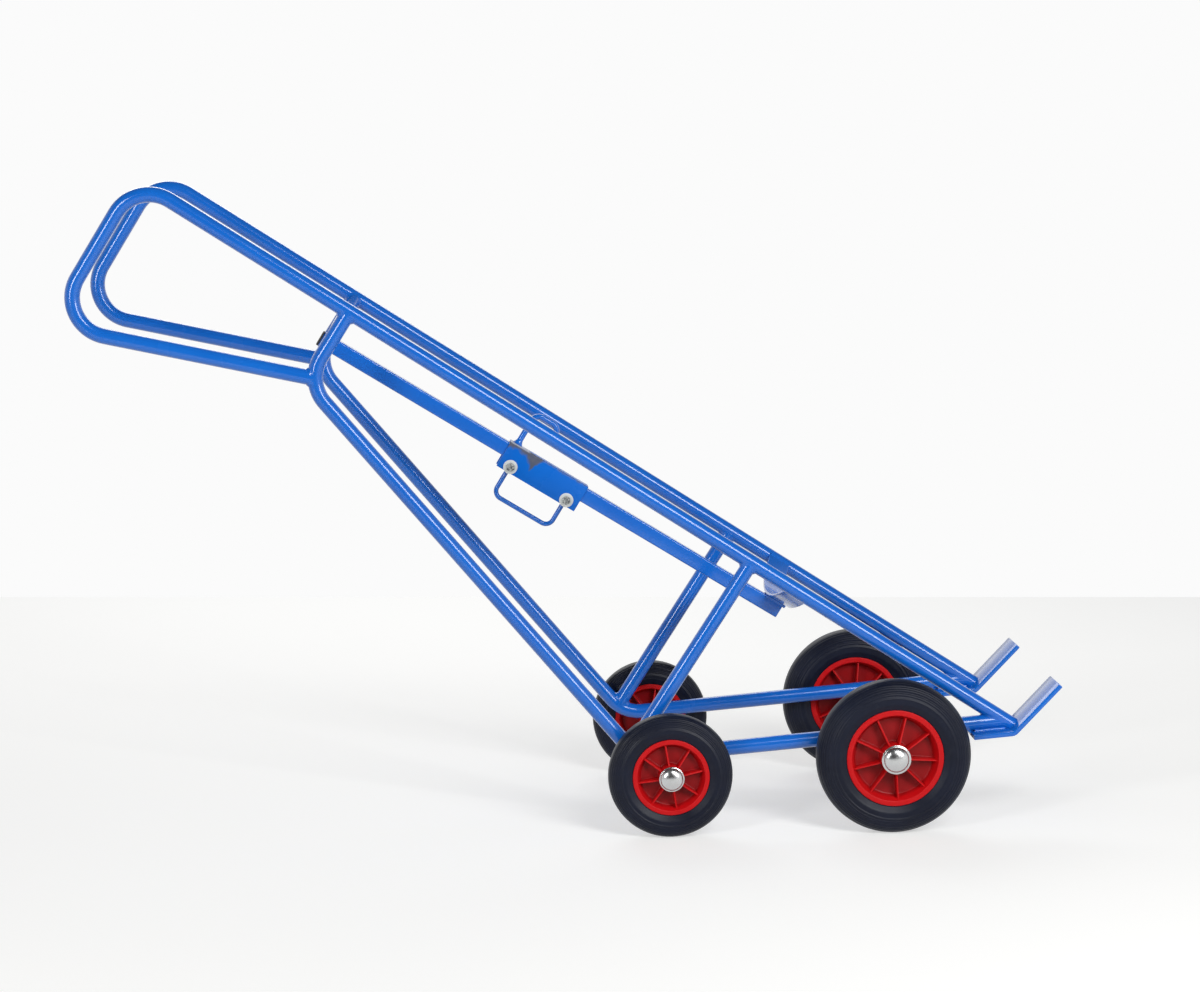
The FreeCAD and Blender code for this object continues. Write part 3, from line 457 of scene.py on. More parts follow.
def square_ring(x, half, radius):
    """A rounded square across the rail at x: its middle lies half the rail's size under the top face."""
    loop = rounded_box((-half, -half), (half, half), radius)
    return np.insert(loop - (0.0, RAIL_HALF), 0, x, axis=1)


ends = [(LOW_END, SAWN_EDGE), (LOW_END - SAWN_EDGE, 0.0), (TOP_END + SAWN_EDGE, 0.0), (TOP_END, SAWN_EDGE)]
rail_rings = [square_ring(x, RAIL_HALF - edge, 3.0) for x, edge in ends]
rail_rings += [square_ring(x, RAIL_HALF - RAIL_WALL + edge, 1.2) for x, edge in ends[::-1]]
square_tube = shell(settle(np.stack(rail_rings), RAIL), looped=True)
skin("square_rail", [square_tube], blue_enamel, "frame", "hook_rail")

rail_welds = []
strap_on_rail = np.linspace((-1.0, 11.5, 0.1), (-39.0, 11.5, 0.1), 20)
cross_on_rail = np.linspace((-887.0, -11.0, 0.0), (-887.0, 11.0, 0.0), 14)
for face in (1, -1):
    runs = [seam(strap_on_rail * (1, face, 1), (0, 0.35 * face, -0.94), (0, face, 0.04),
                 (0, 0.7 * face, -0.7), 4.5),
            seam(cross_on_rail + (2.0 * face, 0, 0), (face, 0, 0), (0.8 * face, 0, 0.6),
                 (-0.3 * face, 0, 0.95), 5.0)]
    rail_welds += [shell(settle(run, RAIL)) for run in runs]
skin("rail_welds", rail_welds, blue_enamel, "frame")


def moulded_black(tree, grain, scuff):
    """Black polyethylene from a plain spark-eroded mould: a fine even grain of about 0.4 mm, drawn at
    1.2 mm so that it shows, and paler scuffs a few millimetres across."""
    return surface(tree, scuff, ("#121316", "#222429"), scuff, (0.3, 0.7, 0.42, 0.6), grain, (0.2, 0.0003))


# Moulded polyethylene is a soft black with no sharp reflection.
black_moulding = finish("moulded_polyethylene_black", "black_plastic", {"IOR": 1.5}, moulded_black,
                        (1.2, 1.0), (9, 4.0))
plug_rows = [(16.0, 9.6), (14.0, 10.3), (0.0, 10.3), (0.0, 12.2), (-0.4, 12.5), (-2.8, 12.5), (-3.6, 12.0),
             (-4.0, 10.8)]
plug = np.stack([square_ring(TOP_END + along, half, 2.5) for along, half in plug_rows])
skin("rail_plug", [shell(settle(plug, RAIL))], black_moulding, "frame", "rail_end_plug")


# Axles
# Plain bars of bright drawn steel across the trolley, 25 mm in front and 20 mm behind. Each hangs in a lug
# cut from 8 mm plate under each low tube, with a turned collar and a washer inside each wheel and a washer
# outside.

AXLES = {
    "front": {"x": 520.5, "z": 127.0, "radius": 12.5, "half": 256.8, "drop": 28.0, "collar": (18.0, 6.0),
              "washer": 21.0, "hub_inner": 190.5, "hub_outer": 248.8},
    "rear": {"x": 155.5, "z": 101.5, "radius": 10.0, "half": 254.8, "drop": 23.0, "collar": (15.0, 8.0),
             "washer": 17.5, "hub_inner": 192.5, "hub_outer": 246.8},
}
STACK_INNER = 181.7
WASHER, WASHER_GAP, BORE_GAP = 2.5, 0.3, 0.1
LUG_HALF, LUG_WALL = 4.0, 6.0
BAR_CHAMFER = 1.5


def turned(profile, x, z, columns=96):
    """A profile of (radius, Y) pairs turned about the line X = x, Z = z: (x + r cos a, Y, z + r sin a).

    The rows go round, so a closed profile gives a looped grid.
    """
    angle = np.linspace(0, 2 * np.pi, columns, endpoint=False)[:, None]
    radius, y = np.asarray(profile, float).T
    across = x + radius * np.cos(angle)
    return np.stack([across, np.broadcast_to(y, across.shape), z + radius * np.sin(angle)], axis=-1)


def turned_ring(x, z, inner, outer, low, high, edge=0.5):
    """A turned ring with eased edges between two Y faces."""
    return shell(turned(rounded_box((inner, low), (outer, high), edge, 4), x, z), looped=True)


def turned_solid(profile, x, z, columns=96):
    """A turned solid whose profile runs from one end to the other, closed by a flat face at each end."""
    return shell(turned(profile, x, z, columns).swapaxes(0, 1))


def drawn_bar(tree, film):
    """Bright drawn bar: straight die lines along the bar, and a thin film of oil and handling. The lines
    are 0.2 mm apart on the real bar, and are drawn 1.5 mm apart so that they show."""
    place = node(tree, "TexCoord", {})["Object"]
    along = node(tree, "Mapping", {"Vector": place, "Scale": (1.0, 0.02, 1.0)})[0]
    lines = node(tree, "TexNoise", {"Vector": along, "Scale": 1000 / 1.5, "Detail": 2.0})[0]
    return surface(tree, film, ("#A9ABAD", "#C9CACB"), film, (0.3, 0.7, 0.26, 0.4), lines, (0.1, 0.0002))


# Drawn steel is a clean grey with reflections pulled out along the bar.
drawn_steel = finish("bright_drawn_steel", "bright_steel", {"Metallic": 1.0}, drawn_bar, (30, 4.0))


def zinc_plate(tree, cloud):
    """Tumbled zinc plating: a pale grey with cloudy patches where the passivation varies, and crystals of
    under a millimetre, drawn at 2 mm so that they show."""
    place = node(tree, "TexCoord", {})["Object"]
    crystal = node(tree, "TexVoronoi", {"Vector": place, "Scale": 1000 / 2})["Distance"]
    return surface(tree, cloud, ("#D2D6D6", "#E8EAE7"), cloud, (0.3, 0.7, 0.5, 0.65), crystal, (0.06, 0.0003))


# Tumbled zinc plate under its passivation is paler and duller than bare steel, with little mirror left.
zinc = finish("tumbled_zinc_plate", "zinc", {"Metallic": 0.35}, zinc_plate, (8, 3.0))

for kind, size in AXLES.items():
    x, z, radius, half = (size[key] for key in ("x", "z", "radius", "half"))
    bar = [(radius - BAR_CHAMFER, -half), (radius, BAR_CHAMFER - half), (radius, half - BAR_CHAMFER),
           (radius - BAR_CHAMFER, half)]
    skin(f"{kind}_axle_bar", [turned_solid(bar, x, z, 48)], drawn_steel, "frame", f"{kind}_axle")

    eye = radius + LUG_WALL
    lug_loop = rounded_loop([(-eye, size["drop"]), (-eye, -eye), (eye, -eye), (eye, size["drop"])],
                            [0, eye - 0.1, eye - 0.1, 0], 20)
    lugs, beads, collars, washers = [], [], [], []
    face_y, slope = LUG_HALF - 0.1, np.tan(CHASSIS[1])
    under = size["drop"] - np.sqrt(TUBE_RADIUS ** 2 - face_y ** 2) / np.cos(CHASSIS[1])
    lug_seam = np.linspace(*[(end, face_y, under - slope * end) for end in (1 - eye, eye - 1)], 20)
    for sign in SIDES.values():
        place = ((x, z), 0.0)
        lugs.append(shell(settle(plate(lug_loop, -LUG_HALF, LUG_HALF, 0.8), place, sign * HALF_SPACING)))
        for face in (1, -1):
            run = seam(lug_seam * (1, face, 1), (0, 0, -1), (0, 0.93 * face, 0.36),
                       (0, 0.8 * face, -0.6), 4.5)
            beads.append(shell(settle(run, place, sign * HALF_SPACING)))
        collar_radius, collar_length = size["collar"]
        collars.append(turned_ring(x, z, radius + BORE_GAP, collar_radius, sign * STACK_INNER,
                                   sign * (STACK_INNER + collar_length), 0.8))
        for low in (size["hub_inner"] - WASHER_GAP - WASHER, size["hub_outer"]):
            washers.append(turned_ring(x, z, radius + BORE_GAP, size["washer"], sign * low,
                                       sign * (low + WASHER)))
    skin(f"{kind}_lug_plates", lugs, blue_enamel, "frame", f"{kind}_axle_lugs")
    skin(f"{kind}_lug_welds", beads, blue_enamel, "frame")
    skin(f"{kind}_collars", collars, drawn_steel, "frame", f"{kind}_axle_collars")
    skin(f"{kind}_washers", washers, zinc, "frame", f"{kind}_axle_washers")


# Wheel centres
# One-piece injection mouldings in red polypropylene: a hub, a thin web with radial ribs on both faces, and a
# deep rim whose lips hold the tyre. A steel roller bearing is pressed into each hub.

WHEELS = {
    "front": {"bore": 17.7, "hub": 24.0, "hub_end": 29.0, "web": 64.0, "lip": 71.0, "seat": 75.0, "rim": 79.5,
              "rim_end": 23.0, "ribs": 9, "turn": -5.0, "tread": 127.0, "wide": 28.0, "crown": 25.0},
    "rear": {"bore": 14.2, "hub": 20.0, "hub_end": 27.0, "web": 49.0, "lip": 55.0, "seat": 58.5, "rim": 62.5,
             "rim_end": 20.0, "ribs": 8, "turn": 10.0, "tread": 101.5, "wide": 24.0, "crown": 21.0},
}
WHEEL_MIDDLE = 219.5
WEB_HALF, RIM_LIP = 3.0, 5.0
RIB_ROWS, RIB_BELOW_HUB, RIB_BELOW_RIM = 12, 4.0, 6.0
RIB_HALF, RIB_FILLET, RIB_SUNK = 1.6, 2.0, 1.0
RIB_FLAT, RIB_ROUND, RIB_CROWN = 0.6, 0.7, 0.8
# How far from the faces of the web the painted shade fades out, in millimetres.
WEB_SHADE_FADE = 10.0


def both_faces(half):
    """A half profile of (radius, Y, rounding) rows joined to its mirror image, as a closed outline."""
    rows = np.array(half, float)
    whole = np.concatenate([rows, rows[::-1] * (1, -1, 1)])
    return rounded_loop(whole[:, :2], whole[:, 2])


def rib(size, face):
    """One rib on a face of the web, as sections across it from the hub out to the rim.

    Each section rises from a fillet on the web, tapers by its draft and ends in a rounded top. The top
    falls in a straight line from the hub to the rim.
    """
    radius = np.linspace((size["bore"] + size["hub"]) / 2, (size["lip"] + size["seat"]) / 2, RIB_ROWS)
    fall = (size["hub_end"] - RIB_BELOW_HUB, size["rim_end"] - RIB_BELOW_RIM)
    top = np.interp(radius, radius[[0, -1]], fall)[:, None]
    turn = np.linspace(0, np.pi / 2, 6)
    width = np.concatenate([[RIB_HALF + RIB_FILLET + 0.1], RIB_HALF + RIB_FILLET * (1 - np.sin(turn)),
                            RIB_FLAT + RIB_ROUND * np.cos(turn)])
    foot = np.concatenate([[-RIB_SUNK], RIB_FILLET * (1 - np.cos(turn))]) + WEB_HALF
    crown = top - RIB_CROWN * (1 - np.sin(turn))
    height = np.concatenate([np.broadcast_to(foot, (RIB_ROWS, len(foot))), crown], axis=1)
    across = np.concatenate([width, -width[::-1]])
    along = np.concatenate([height, height[:, ::-1]], axis=1) * face
    return np.stack([np.broadcast_to(radius[:, None], along.shape),
                     np.broadcast_to(across, along.shape), along], axis=-1)


def moulded_red(tree, grain, dust):
    """Red polypropylene from a satin mould: slow flow marks where the melt met, a soft grain of about
    0.5 mm drawn at 1.5 mm so that it shows, dust that dulls it in patches, and painted shade that darkens
    the recessed web, by the distance from the middle plane of the wheel."""
    place = node(tree, "TexCoord", {})["Object"]
    flow = node(tree, "TexNoise", {"Vector": place, "Scale": 1000 / 45, "Detail": 3.0,
                                   "Distortion": 1.5})[0]
    sockets = surface(tree, flow, ("#BC0A10", "#CC1016"), dust, (0.3, 0.7, 0.32, 0.5), grain, (0.08, 0.0003))
    axial = node(tree, "SeparateXYZ", {0: place})[1]
    outward = node(tree, "Math", {0: axial}, operation="ABSOLUTE")[0]
    offset = node(tree, "Math", {0: outward, 1: WHEEL_MIDDLE / 1000}, operation="SUBTRACT")[0]
    depth = node(tree, "Math", {0: offset}, operation="ABSOLUTE")[0]
    # Painted shade: the recessed web is mixed towards a dark red, fading out away from its faces.
    web_shade = node(tree, "MapRange", {"Value": depth, 1: WEB_HALF / 1000, 2: (WEB_HALF + WEB_SHADE_FADE) / 1000,
                                    3: 0.75, 4: 0.0})[0]
    sockets["Base Color"] = node(tree, "Mix", {0: web_shade, 6: sockets["Base Color"], 7: linear("#7A0C10")},
                                 data_type="RGBA")[2]
    return sockets


# Moulded polypropylene is a full red with broad, soft highlights on its rims and ribs.
red_moulding = finish("moulded_polypropylene_red", "red_plastic", {"IOR": 1.49, "Specular IOR Level": 0.25},
                      moulded_red, (1.5, 1.0), (14, 5.0))


def greased_rollers(tree, film):
    """Hardened rollers under a film of grease: dark grey steel, with brown where the film is thick."""
    colour = node(tree, "Mix", {0: film, 6: linear("#8F9194"), 7: linear("#5A5348")}, data_type="RGBA")[2]
    gloss = node(tree, "MapRange", {"Value": film, 1: 0.3, 2: 0.7, 3: 0.2, 4: 0.45})[0]
    return {"Base Color": colour, "Roughness": gloss}


# Greased steel shows only as a dark glint deep in the hub.
roller_steel = finish("greased_roller_steel", "bright_steel", {"Metallic": 1.0}, greased_rollers, (6, 4.0))

for kind, size in WHEELS.items():
    axle = AXLES[kind]
    end, rim_end = size["hub_end"], size["rim_end"]
    centre_loop = both_faces([
        (size["bore"], end, 0.8), (size["hub"], end, 1.5), (size["hub"], WEB_HALF, 3.0),
        (size["web"], WEB_HALF, 4.0), (size["lip"], rim_end, 1.2), (size["rim"], rim_end, 1.2),
        (size["rim"], rim_end - RIM_LIP, 0.0), (size["seat"], rim_end - RIM_LIP, 0.5)])
    for side, sign in SIDES.items():
        middle = sign * WHEEL_MIDDLE
        shells = [shell(turned(centre_loop + (0.0, middle), axle["x"], axle["z"], 144), looped=True)]
        for number in range(size["ribs"]):
            angle = np.radians(size["turn"] + number * 360 / size["ribs"])
            for face in (1, -1):
                radius, across, along = np.moveaxis(rib(size, face), -1, 0)
                shells.append(shell(np.stack([
                    axle["x"] + radius * np.cos(angle) - across * np.sin(angle), middle + along,
                    axle["z"] - sign * (radius * np.sin(angle) + across * np.cos(angle))], axis=-1)))
        body = f"{kind}_{side}_wheel"
        skin(f"{kind}_{side}_moulding", shells, red_moulding, body, f"{body}_centre")
        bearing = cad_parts[f"{kind}_{side}_roller_bearing"]
        bearing.data.materials.clear()
        bearing.data.materials.append(roller_steel[0])


# Tyres
# Solid black rubber rings, moulded and then stretched over the rim. Fine grooves run round each shoulder and
# a low step runs round each side wall, and the tread is bald and rounded.

TYRE_GAP = 0.1
GROOVE_DEPTH, GROOVE_WIDTH = 0.7, 0.9
GROOVE_SHARES, STEP_SHARE = np.linspace(0.82, 0.97, 6), 0.785


def tyre_section(size):
    """The closed outline of a tyre at steps of 1 mm, with grooves cut into it along its normals.

    Each groove takes depth * exp(-(distance along the outline / width)^2), and the step on the side wall is
    the same curve raised. Their radii are shares of the tread's radius.
    """
    foot, seat, rim_end = size["rim"] + TYRE_GAP, size["seat"] + TYRE_GAP, size["rim_end"]
    bead = rim_end - RIM_LIP - TYRE_GAP
    corners = both_faces([
        (seat, bead, 0.0), (foot, bead, 0.0), (foot, rim_end - 1.0, 1.5),
        (foot + 11.0, size["wide"], 9.0), (size["tread"], size["wide"], size["crown"])])
    outline = evenly(np.concatenate([corners, corners[:1]]))[:-1]
    share = outline[:, 0] / size["tread"]
    length = np.arange(len(outline)) * np.linalg.norm(outline[1] - outline[0])
    cut = np.zeros(len(outline))
    for groove, depth in [(STEP_SHARE, -GROOVE_DEPTH)] + [(ring, GROOVE_DEPTH) for ring in GROOVE_SHARES]:
        for face in (outline[:, 1] > 0, outline[:, 1] < 0):
            spot = np.argmin(np.where(face, np.abs(share - groove), 9.0))
            cut += depth * np.exp(-((length - length[spot]) / GROOVE_WIDTH) ** 2)
    return drawn_in(outline, cut[:, None])


def tyre_rubber(tree, bloom, dust, grain):
    """Black tyre rubber: a blue-grey bloom in soft patches, pale dust on it, and a moulded grain of about
    0.6 mm, drawn at 2 mm so that it shows."""
    sockets = surface(tree, bloom, ("#080B18", "#12192E"), bloom, (0.3, 0.7, 0.36, 0.5), grain,
                      (0.12, 0.0004))
    thin = node(tree, "MapRange", {"Value": dust, 1: 0.5, 2: 0.8, 3: 0.0, 4: 0.25})[0]
    sockets["Base Color"] = node(tree, "Mix", {0: thin, 6: sockets["Base Color"], 7: linear("#282C36")},
                                 data_type="RGBA")[2]
    return sockets


# Moulded rubber is a bluish black with a dull sheen on its shoulders.
black_rubber = finish("moulded_rubber_black", "tyre_rubber", {"IOR": 1.52, "Specular IOR Level": 0.22},
                      tyre_rubber, (60, 4.0), (12, 6.0), (2, 2.0))

for kind, size in WHEELS.items():
    section = tyre_section(size)
    for side, sign in SIDES.items():
        wheel = f"{kind}_{side}"
        ring = turned(section + (0.0, sign * WHEEL_MIDDLE), AXLES[kind]["x"], AXLES[kind]["z"], 160)
        skin(f"{wheel}_rubber", [shell(ring, looped=True)], black_rubber, f"{wheel}_wheel", f"{wheel}_tyre")


# Axle caps
# Low domes pressed from thin plated sheet, each with a flat ring round its foot and spring teeth inside that
# grip the end of the axle. They hide the axle and its washer.

CAPS = {
    "front": {"flange": 24.0, "dome": 21.0, "height": 11.0},
    "rear": {"flange": 20.5, "dome": 18.75, "height": 10.0},
}
CAP_SHEET = 1.2


def plated_dome(tree, rub, dull):
    """Nickel plate over pressed sheet: a mirror softened by rubbing marks a few millimetres across, and
    dulled in patches by fingers."""
    return surface(tree, dull, ("#C2C4C6", "#D6D7D6"), dull, (0.3, 0.7, 0.2, 0.28), rub, (0.04, 0.0003))


# Nickel plate is nearly white and shows a soft picture of the room.
bright_nickel = finish("bright_nickel_plate", "bright_cap", {"Metallic": 1.0}, plated_dome,
                       (3, 3.0), (10, 3.0))

for kind, size in CAPS.items():
    turn = np.linspace(np.arcsin(1.5 / size["height"]), np.pi / 2 - 0.02, 32)
    dome = np.stack([size["dome"] * np.cos(turn), size["height"] * np.sin(turn)], axis=-1)
    foot = [(2.0, 0.1), (size["flange"] - 0.5, 0.1), (size["flange"], 0.4), (size["flange"], 0.9),
            (size["flange"] - 0.3, CAP_SHEET), (size["dome"] + 0.7, CAP_SHEET)]
    profile = np.concatenate([foot, dome]) + (0.0, AXLES[kind]["hub_outer"] + WASHER)
    caps = [turned_solid(profile * (1, sign), AXLES[kind]["x"], AXLES[kind]["z"]) for sign in SIDES.values()]
    skin(f"{kind}_domes", caps, bright_nickel, "frame", f"{kind}_axle_caps", crease=60)


# Hook carriage
# A 3 mm plate folded into a channel that slides on the rail. Its blue enamel has worn to bare, dull metal at
# the upper corner of its right cheek, where the rail and the hand rub it.

CARRIAGE = datum(RAIL, -468.5, 0.0, 0.0)
CHEEK_LOW, CHEEK_TOP = -44.5, 3.5
CHEEK_INSIDE, CHEEK_OUTSIDE = 13.0, 16.0
CHANNEL_HALF, CHANNEL_ROOF = 75.5, 0.5

# How far the wear reaches below the fold, at places along it from the upper end, all in millimetres.
WEAR_EDGE = [(0, 10), (8, 9), (16, 6), (27, 7), (36, 9), (46, 19), (51, 28), (56, 14), (60, 7), (64, 1),
             (72, 0)]
WEAR_LENGTH, WEAR_DEPTH = np.max(WEAR_EDGE, axis=0).tolist()


def worn_enamel(tree, drift, haze, peel, ragged):
    """The blue enamel, with a patch rubbed through along the top fold from the upper end.

    Mapping turns the coordinates to the carriage's own axes, in millimetres. A ramp gives how far the patch
    reaches below the fold, and noise of 7 mm makes its edge ragged by a millimetre or two. A pale painted
    highlight runs along the crest of the fold for its first 35 mm.
    """
    place = node(tree, "TexCoord", {})["Object"]
    sockets = enamel(tree, drift, haze, peel)
    (x, z), angle = CARRIAGE
    moved = node(tree, "VectorMath", {0: place, 1: (x / 1000, 0.0, z / 1000)}, operation="SUBTRACT")[0]
    own = node(tree, "Mapping", {"Vector": moved, "Rotation": (0.0, -angle, 0.0), "Scale": (1000.0,) * 3})[0]
    axes = node(tree, "SeparateXYZ", {0: own})
    share = node(tree, "MapRange", {"Value": axes[0], 1: -CHANNEL_HALF, 2: WEAR_LENGTH - CHANNEL_HALF})[0]
    edge = node(tree, "ValToRGB", {0: share})[0]
    stops = edge.node.color_ramp.elements
    for along, _ in WEAR_EDGE[1:-1]:
        stops.new(along / WEAR_LENGTH)
    for stop, (_, depth) in zip(stops, WEAR_EDGE):
        stop.color = (*[depth / WEAR_DEPTH] * 3, 1.0)
    depth = node(tree, "Math", {0: edge, 1: WEAR_DEPTH}, operation="MULTIPLY")[0]
    torn = node(tree, "Math", {0: ragged, 1: 12.0, 2: -6.0}, operation="MULTIPLY_ADD")[0]
    reach = node(tree, "Math", {0: depth, 1: torn}, operation="ADD")[0]
    below = node(tree, "Math", {0: CHEEK_TOP, 1: axes[2]}, operation="SUBTRACT")[0]
    inside_patch = node(tree, "Math", {0: reach, 1: below}, operation="SUBTRACT")[0]
    right = node(tree, "Math", {0: axes[1], 1: -CHEEK_INSIDE}, operation="LESS_THAN")[0]
    patch = node(tree, "MapRange", {"Value": inside_patch, 1: -3.0, 2: 3.5, 4: 0.85})[0]
    worn = node(tree, "Math", {0: patch, 1: right}, operation="MULTIPLY")[0]
    bare = node(tree, "Mix", {0: ragged, 6: linear("#45473F"), 7: linear("#6B6350")}, data_type="RGBA")[2]
    rubbed = node(tree, "Mix", {0: worn, 6: sockets["Base Color"], 7: bare}, data_type="RGBA")[2]
    # Painted highlight: a pale line along the crest of the fold, near its upper end.
    crest = node(tree, "MapRange", {"Value": below, 1: 0.8, 2: 2.2, 3: 0.9, 4: 0.0})[0]
    crest_end = node(tree, "MapRange", {"Value": axes[0], 1: -42.0, 2: -36.0, 3: 1.0, 4: 0.0})[0]
    crest_highlight = node(tree, "Math", {0: crest, 1: crest_end}, operation="MULTIPLY")[0]
    colour = node(tree, "Mix", {0: crest_highlight, 6: rubbed, 7: linear("#B4B9C6")}, data_type="RGBA")[2]
    gloss = node(tree, "Mix", {0: worn, 2: sockets["Roughness"], 3: 0.55})[0]
    return sockets | {"Base Color": colour, "Roughness": gloss}


# Worn stove enamel shows dull, brownish metal with a ragged edge of paint.
worn_blue = finish("stove_enamel_worn_blue", "blue_paint", {"IOR": 1.5, "Specular IOR Level": 0.2},
                   worn_enamel, *SPRAY, (7, 5.0))
channel_loop = rounded_loop(
    [(-CHEEK_OUTSIDE, CHEEK_LOW), (-CHEEK_INSIDE, CHEEK_LOW), (-CHEEK_INSIDE, CHANNEL_ROOF),
     (CHEEK_INSIDE, CHANNEL_ROOF), (CHEEK_INSIDE, CHEEK_LOW), (CHEEK_OUTSIDE, CHEEK_LOW),
     (CHEEK_OUTSIDE, CHEEK_TOP), (-CHEEK_OUTSIDE, CHEEK_TOP)],
    [0.8, 0.8, 0.6, 0.6, 0.8, 0.8, 3.0, 3.0])
channel = plate(channel_loop, -CHANNEL_HALF, CHANNEL_HALF, 0.6)[..., [1, 0, 2]]
skin("carriage_channel", [shell(settle(channel, CARRIAGE))], worn_blue, "carriage", "hook_carriage")


# Carriage fasteners
# Two M8 zinc-plated bolts with dished heads pass under the rail through a steel sleeve each, with a wide
# washer on both cheeks and a locking nut with a plain collar on the far side.

BOLTS_ALONG, BOLT_DROP = (-54.5, 54.5), -34.5
BOLT_RADIUS, BOLT_HOLE = 4.0, 4.2
SLEEVE_RADIUS, SLEEVE_HALF = 9.0, 12.9
WASHER_RADIUS, WASHER_FACE = 12.0, 18.0
HEAD_FACE = WASHER_FACE + 5.3
HEX_HALF, HEX_CORNER, HEX_SLOPE = 6.5, 7.5, 1.73
THREAD_PITCH, THREAD_DEPTH, THREAD_END = 1.25, 0.2, 29.4


def hexed(rows, x, z):
    """A turned solid of (limit, Y) rows, cut by six flats: the radius is the lesser of the row's limit
    and half the flats divided by the cosine of the angle to the nearest flat."""
    angle = np.linspace(0, 2 * np.pi, 72, endpoint=False)
    to_flat = (angle + CARRIAGE[1]) % (np.pi / 3) - np.pi / 6
    limit, y = np.asarray(rows, float).T
    radius = np.minimum(limit[:, None], HEX_HALF / np.cos(to_flat))
    across = x + radius * np.cos(angle)
    return np.stack([across, np.broadcast_to(y[:, None], across.shape), z + radius * np.sin(angle)], axis=-1)


def forged_zinc(tree, patch):
    """Zinc plate over a cold-forged head: dark and bright patches about 3 mm across that paint the shade
    and glints of the head, and the hammered grain of the die under them."""
    place = node(tree, "TexCoord", {})["Object"]
    grain = node(tree, "TexVoronoi", {"Vector": place, "Scale": 1000 / 2.5})["Distance"]
    # Painted shade and glints: noise mixes the head between a dark and a pale grey.
    shade_and_glints = node(tree, "MapRange", {"Value": patch, 1: 0.38, 2: 0.62})[0]
    return surface(tree, shade_and_glints, ("#565C60", "#C9CCC8"), patch, (0.3, 0.7, 0.45, 0.28), grain, (0.25, 0.0004))


# A forged and plated head is a mottled grey of painted shade and glints inside the pale ring of its washer.
forged_plate = finish("forged_zinc_plate", "zinc", {"Metallic": 0.5}, forged_zinc, (3, 3.0))

bolts, nuts, washers, sleeves = [], [], [], []
chamfer = np.linspace(0, 0.87, 6)
dish = np.linspace(0, 1, 6)
dish_rows = np.stack([0.8 + 3.7 * dish, 0.8 * np.cos(np.pi * dish / 2) - HEAD_FACE], axis=-1)
slope_rows = np.stack([6.0 + HEX_SLOPE * chamfer, chamfer - HEAD_FACE], axis=-1)
thread_y = np.linspace(21.0, THREAD_END, 108)
thread = BOLT_RADIUS - THREAD_DEPTH * (1 - np.cos(2 * np.pi * thread_y / THREAD_PITCH))
thread -= 0.8 * np.clip(thread_y - THREAD_END + 0.8, 0, 1)
bolt_rows = np.concatenate([
    dish_rows, slope_rows,
    [(HEX_CORNER, -WASHER_FACE - 0.5), (7.1, -WASHER_FACE), (BOLT_RADIUS, -WASHER_FACE)],
    np.stack([thread, thread_y], axis=-1)])
nut_rows = np.concatenate([
    [(6.4, 0.0), (6.9, 0.4), (HEX_CORNER, 0.8), (HEX_CORNER, 5.6)],
    np.stack([HEX_CORNER - HEX_SLOPE * chamfer, 5.6 + chamfer], axis=-1),
    [(5.75, 6.6), (5.75, 7.6), (5.5, 8.1), (5.0, 8.4), (4.3, 8.5)]]) + (0.0, WASHER_FACE)
for along in BOLTS_ALONG:
    x, _, z = settle((along, 0.0, BOLT_DROP), CARRIAGE)
    bolts.append(shell(hexed(bolt_rows, x, z)))
    nuts.append(shell(hexed(nut_rows, x, z)))
    for sign in SIDES.values():
        washers.append(turned_ring(x, z, BOLT_HOLE, WASHER_RADIUS, sign * CHEEK_OUTSIDE,
                                   sign * WASHER_FACE, 0.4))
    sleeves.append(turned_ring(x, z, BOLT_HOLE, SLEEVE_RADIUS, -SLEEVE_HALF, SLEEVE_HALF))
skin("hex_bolts", bolts, forged_plate, "carriage", "carriage_bolts", crease=25)
skin("locking_nuts", nuts, forged_plate, "carriage", "carriage_nuts", crease=25)
skin("plain_washers", washers, zinc, "carriage", "carriage_washers")
skin("rail_sleeves", sleeves, drawn_steel, "carriage", "carriage_sleeves")


# Pull handle
# An 8 mm rod bent into a U and welded under the two sleeves. It is pulled to draw the carriage back.

PULL_RADIUS, PULL_TOP, PULL_LOW = 4.0, -41.0, -90.0
ROD_BEND = 14.0
upper, lower = BOLTS_ALONG
pull_corners = [(upper, PULL_TOP), (upper, PULL_LOW), (lower, PULL_LOW), (lower, PULL_TOP)]
pull = settle(round_bar(bent_line(pull_corners, ROD_BEND), PULL_RADIUS, 32), CARRIAGE)
pull_shells = [shell(pull)]
for along in BOLTS_ALONG:
    sleeve_line = np.linspace((along, -12.0, BOLT_DROP), (along, 12.0, BOLT_DROP), 41)
    bead = tube_weld(sleeve_line, SLEEVE_RADIUS, (along, 0.0, -RUN_UP), (0, 0, 1), PULL_RADIUS, 3.0)
    pull_shells.append(shell(settle(bead, CARRIAGE), looped=True))
skin("pull_rod", pull_shells, blue_enamel, "carriage", "pull_handle")


# Drum hook
# A 10 mm rod bent over at the top to reach across the rim of the load. Its foot flares into the weld that
# holds it to the carriage, and its tip is rounded.

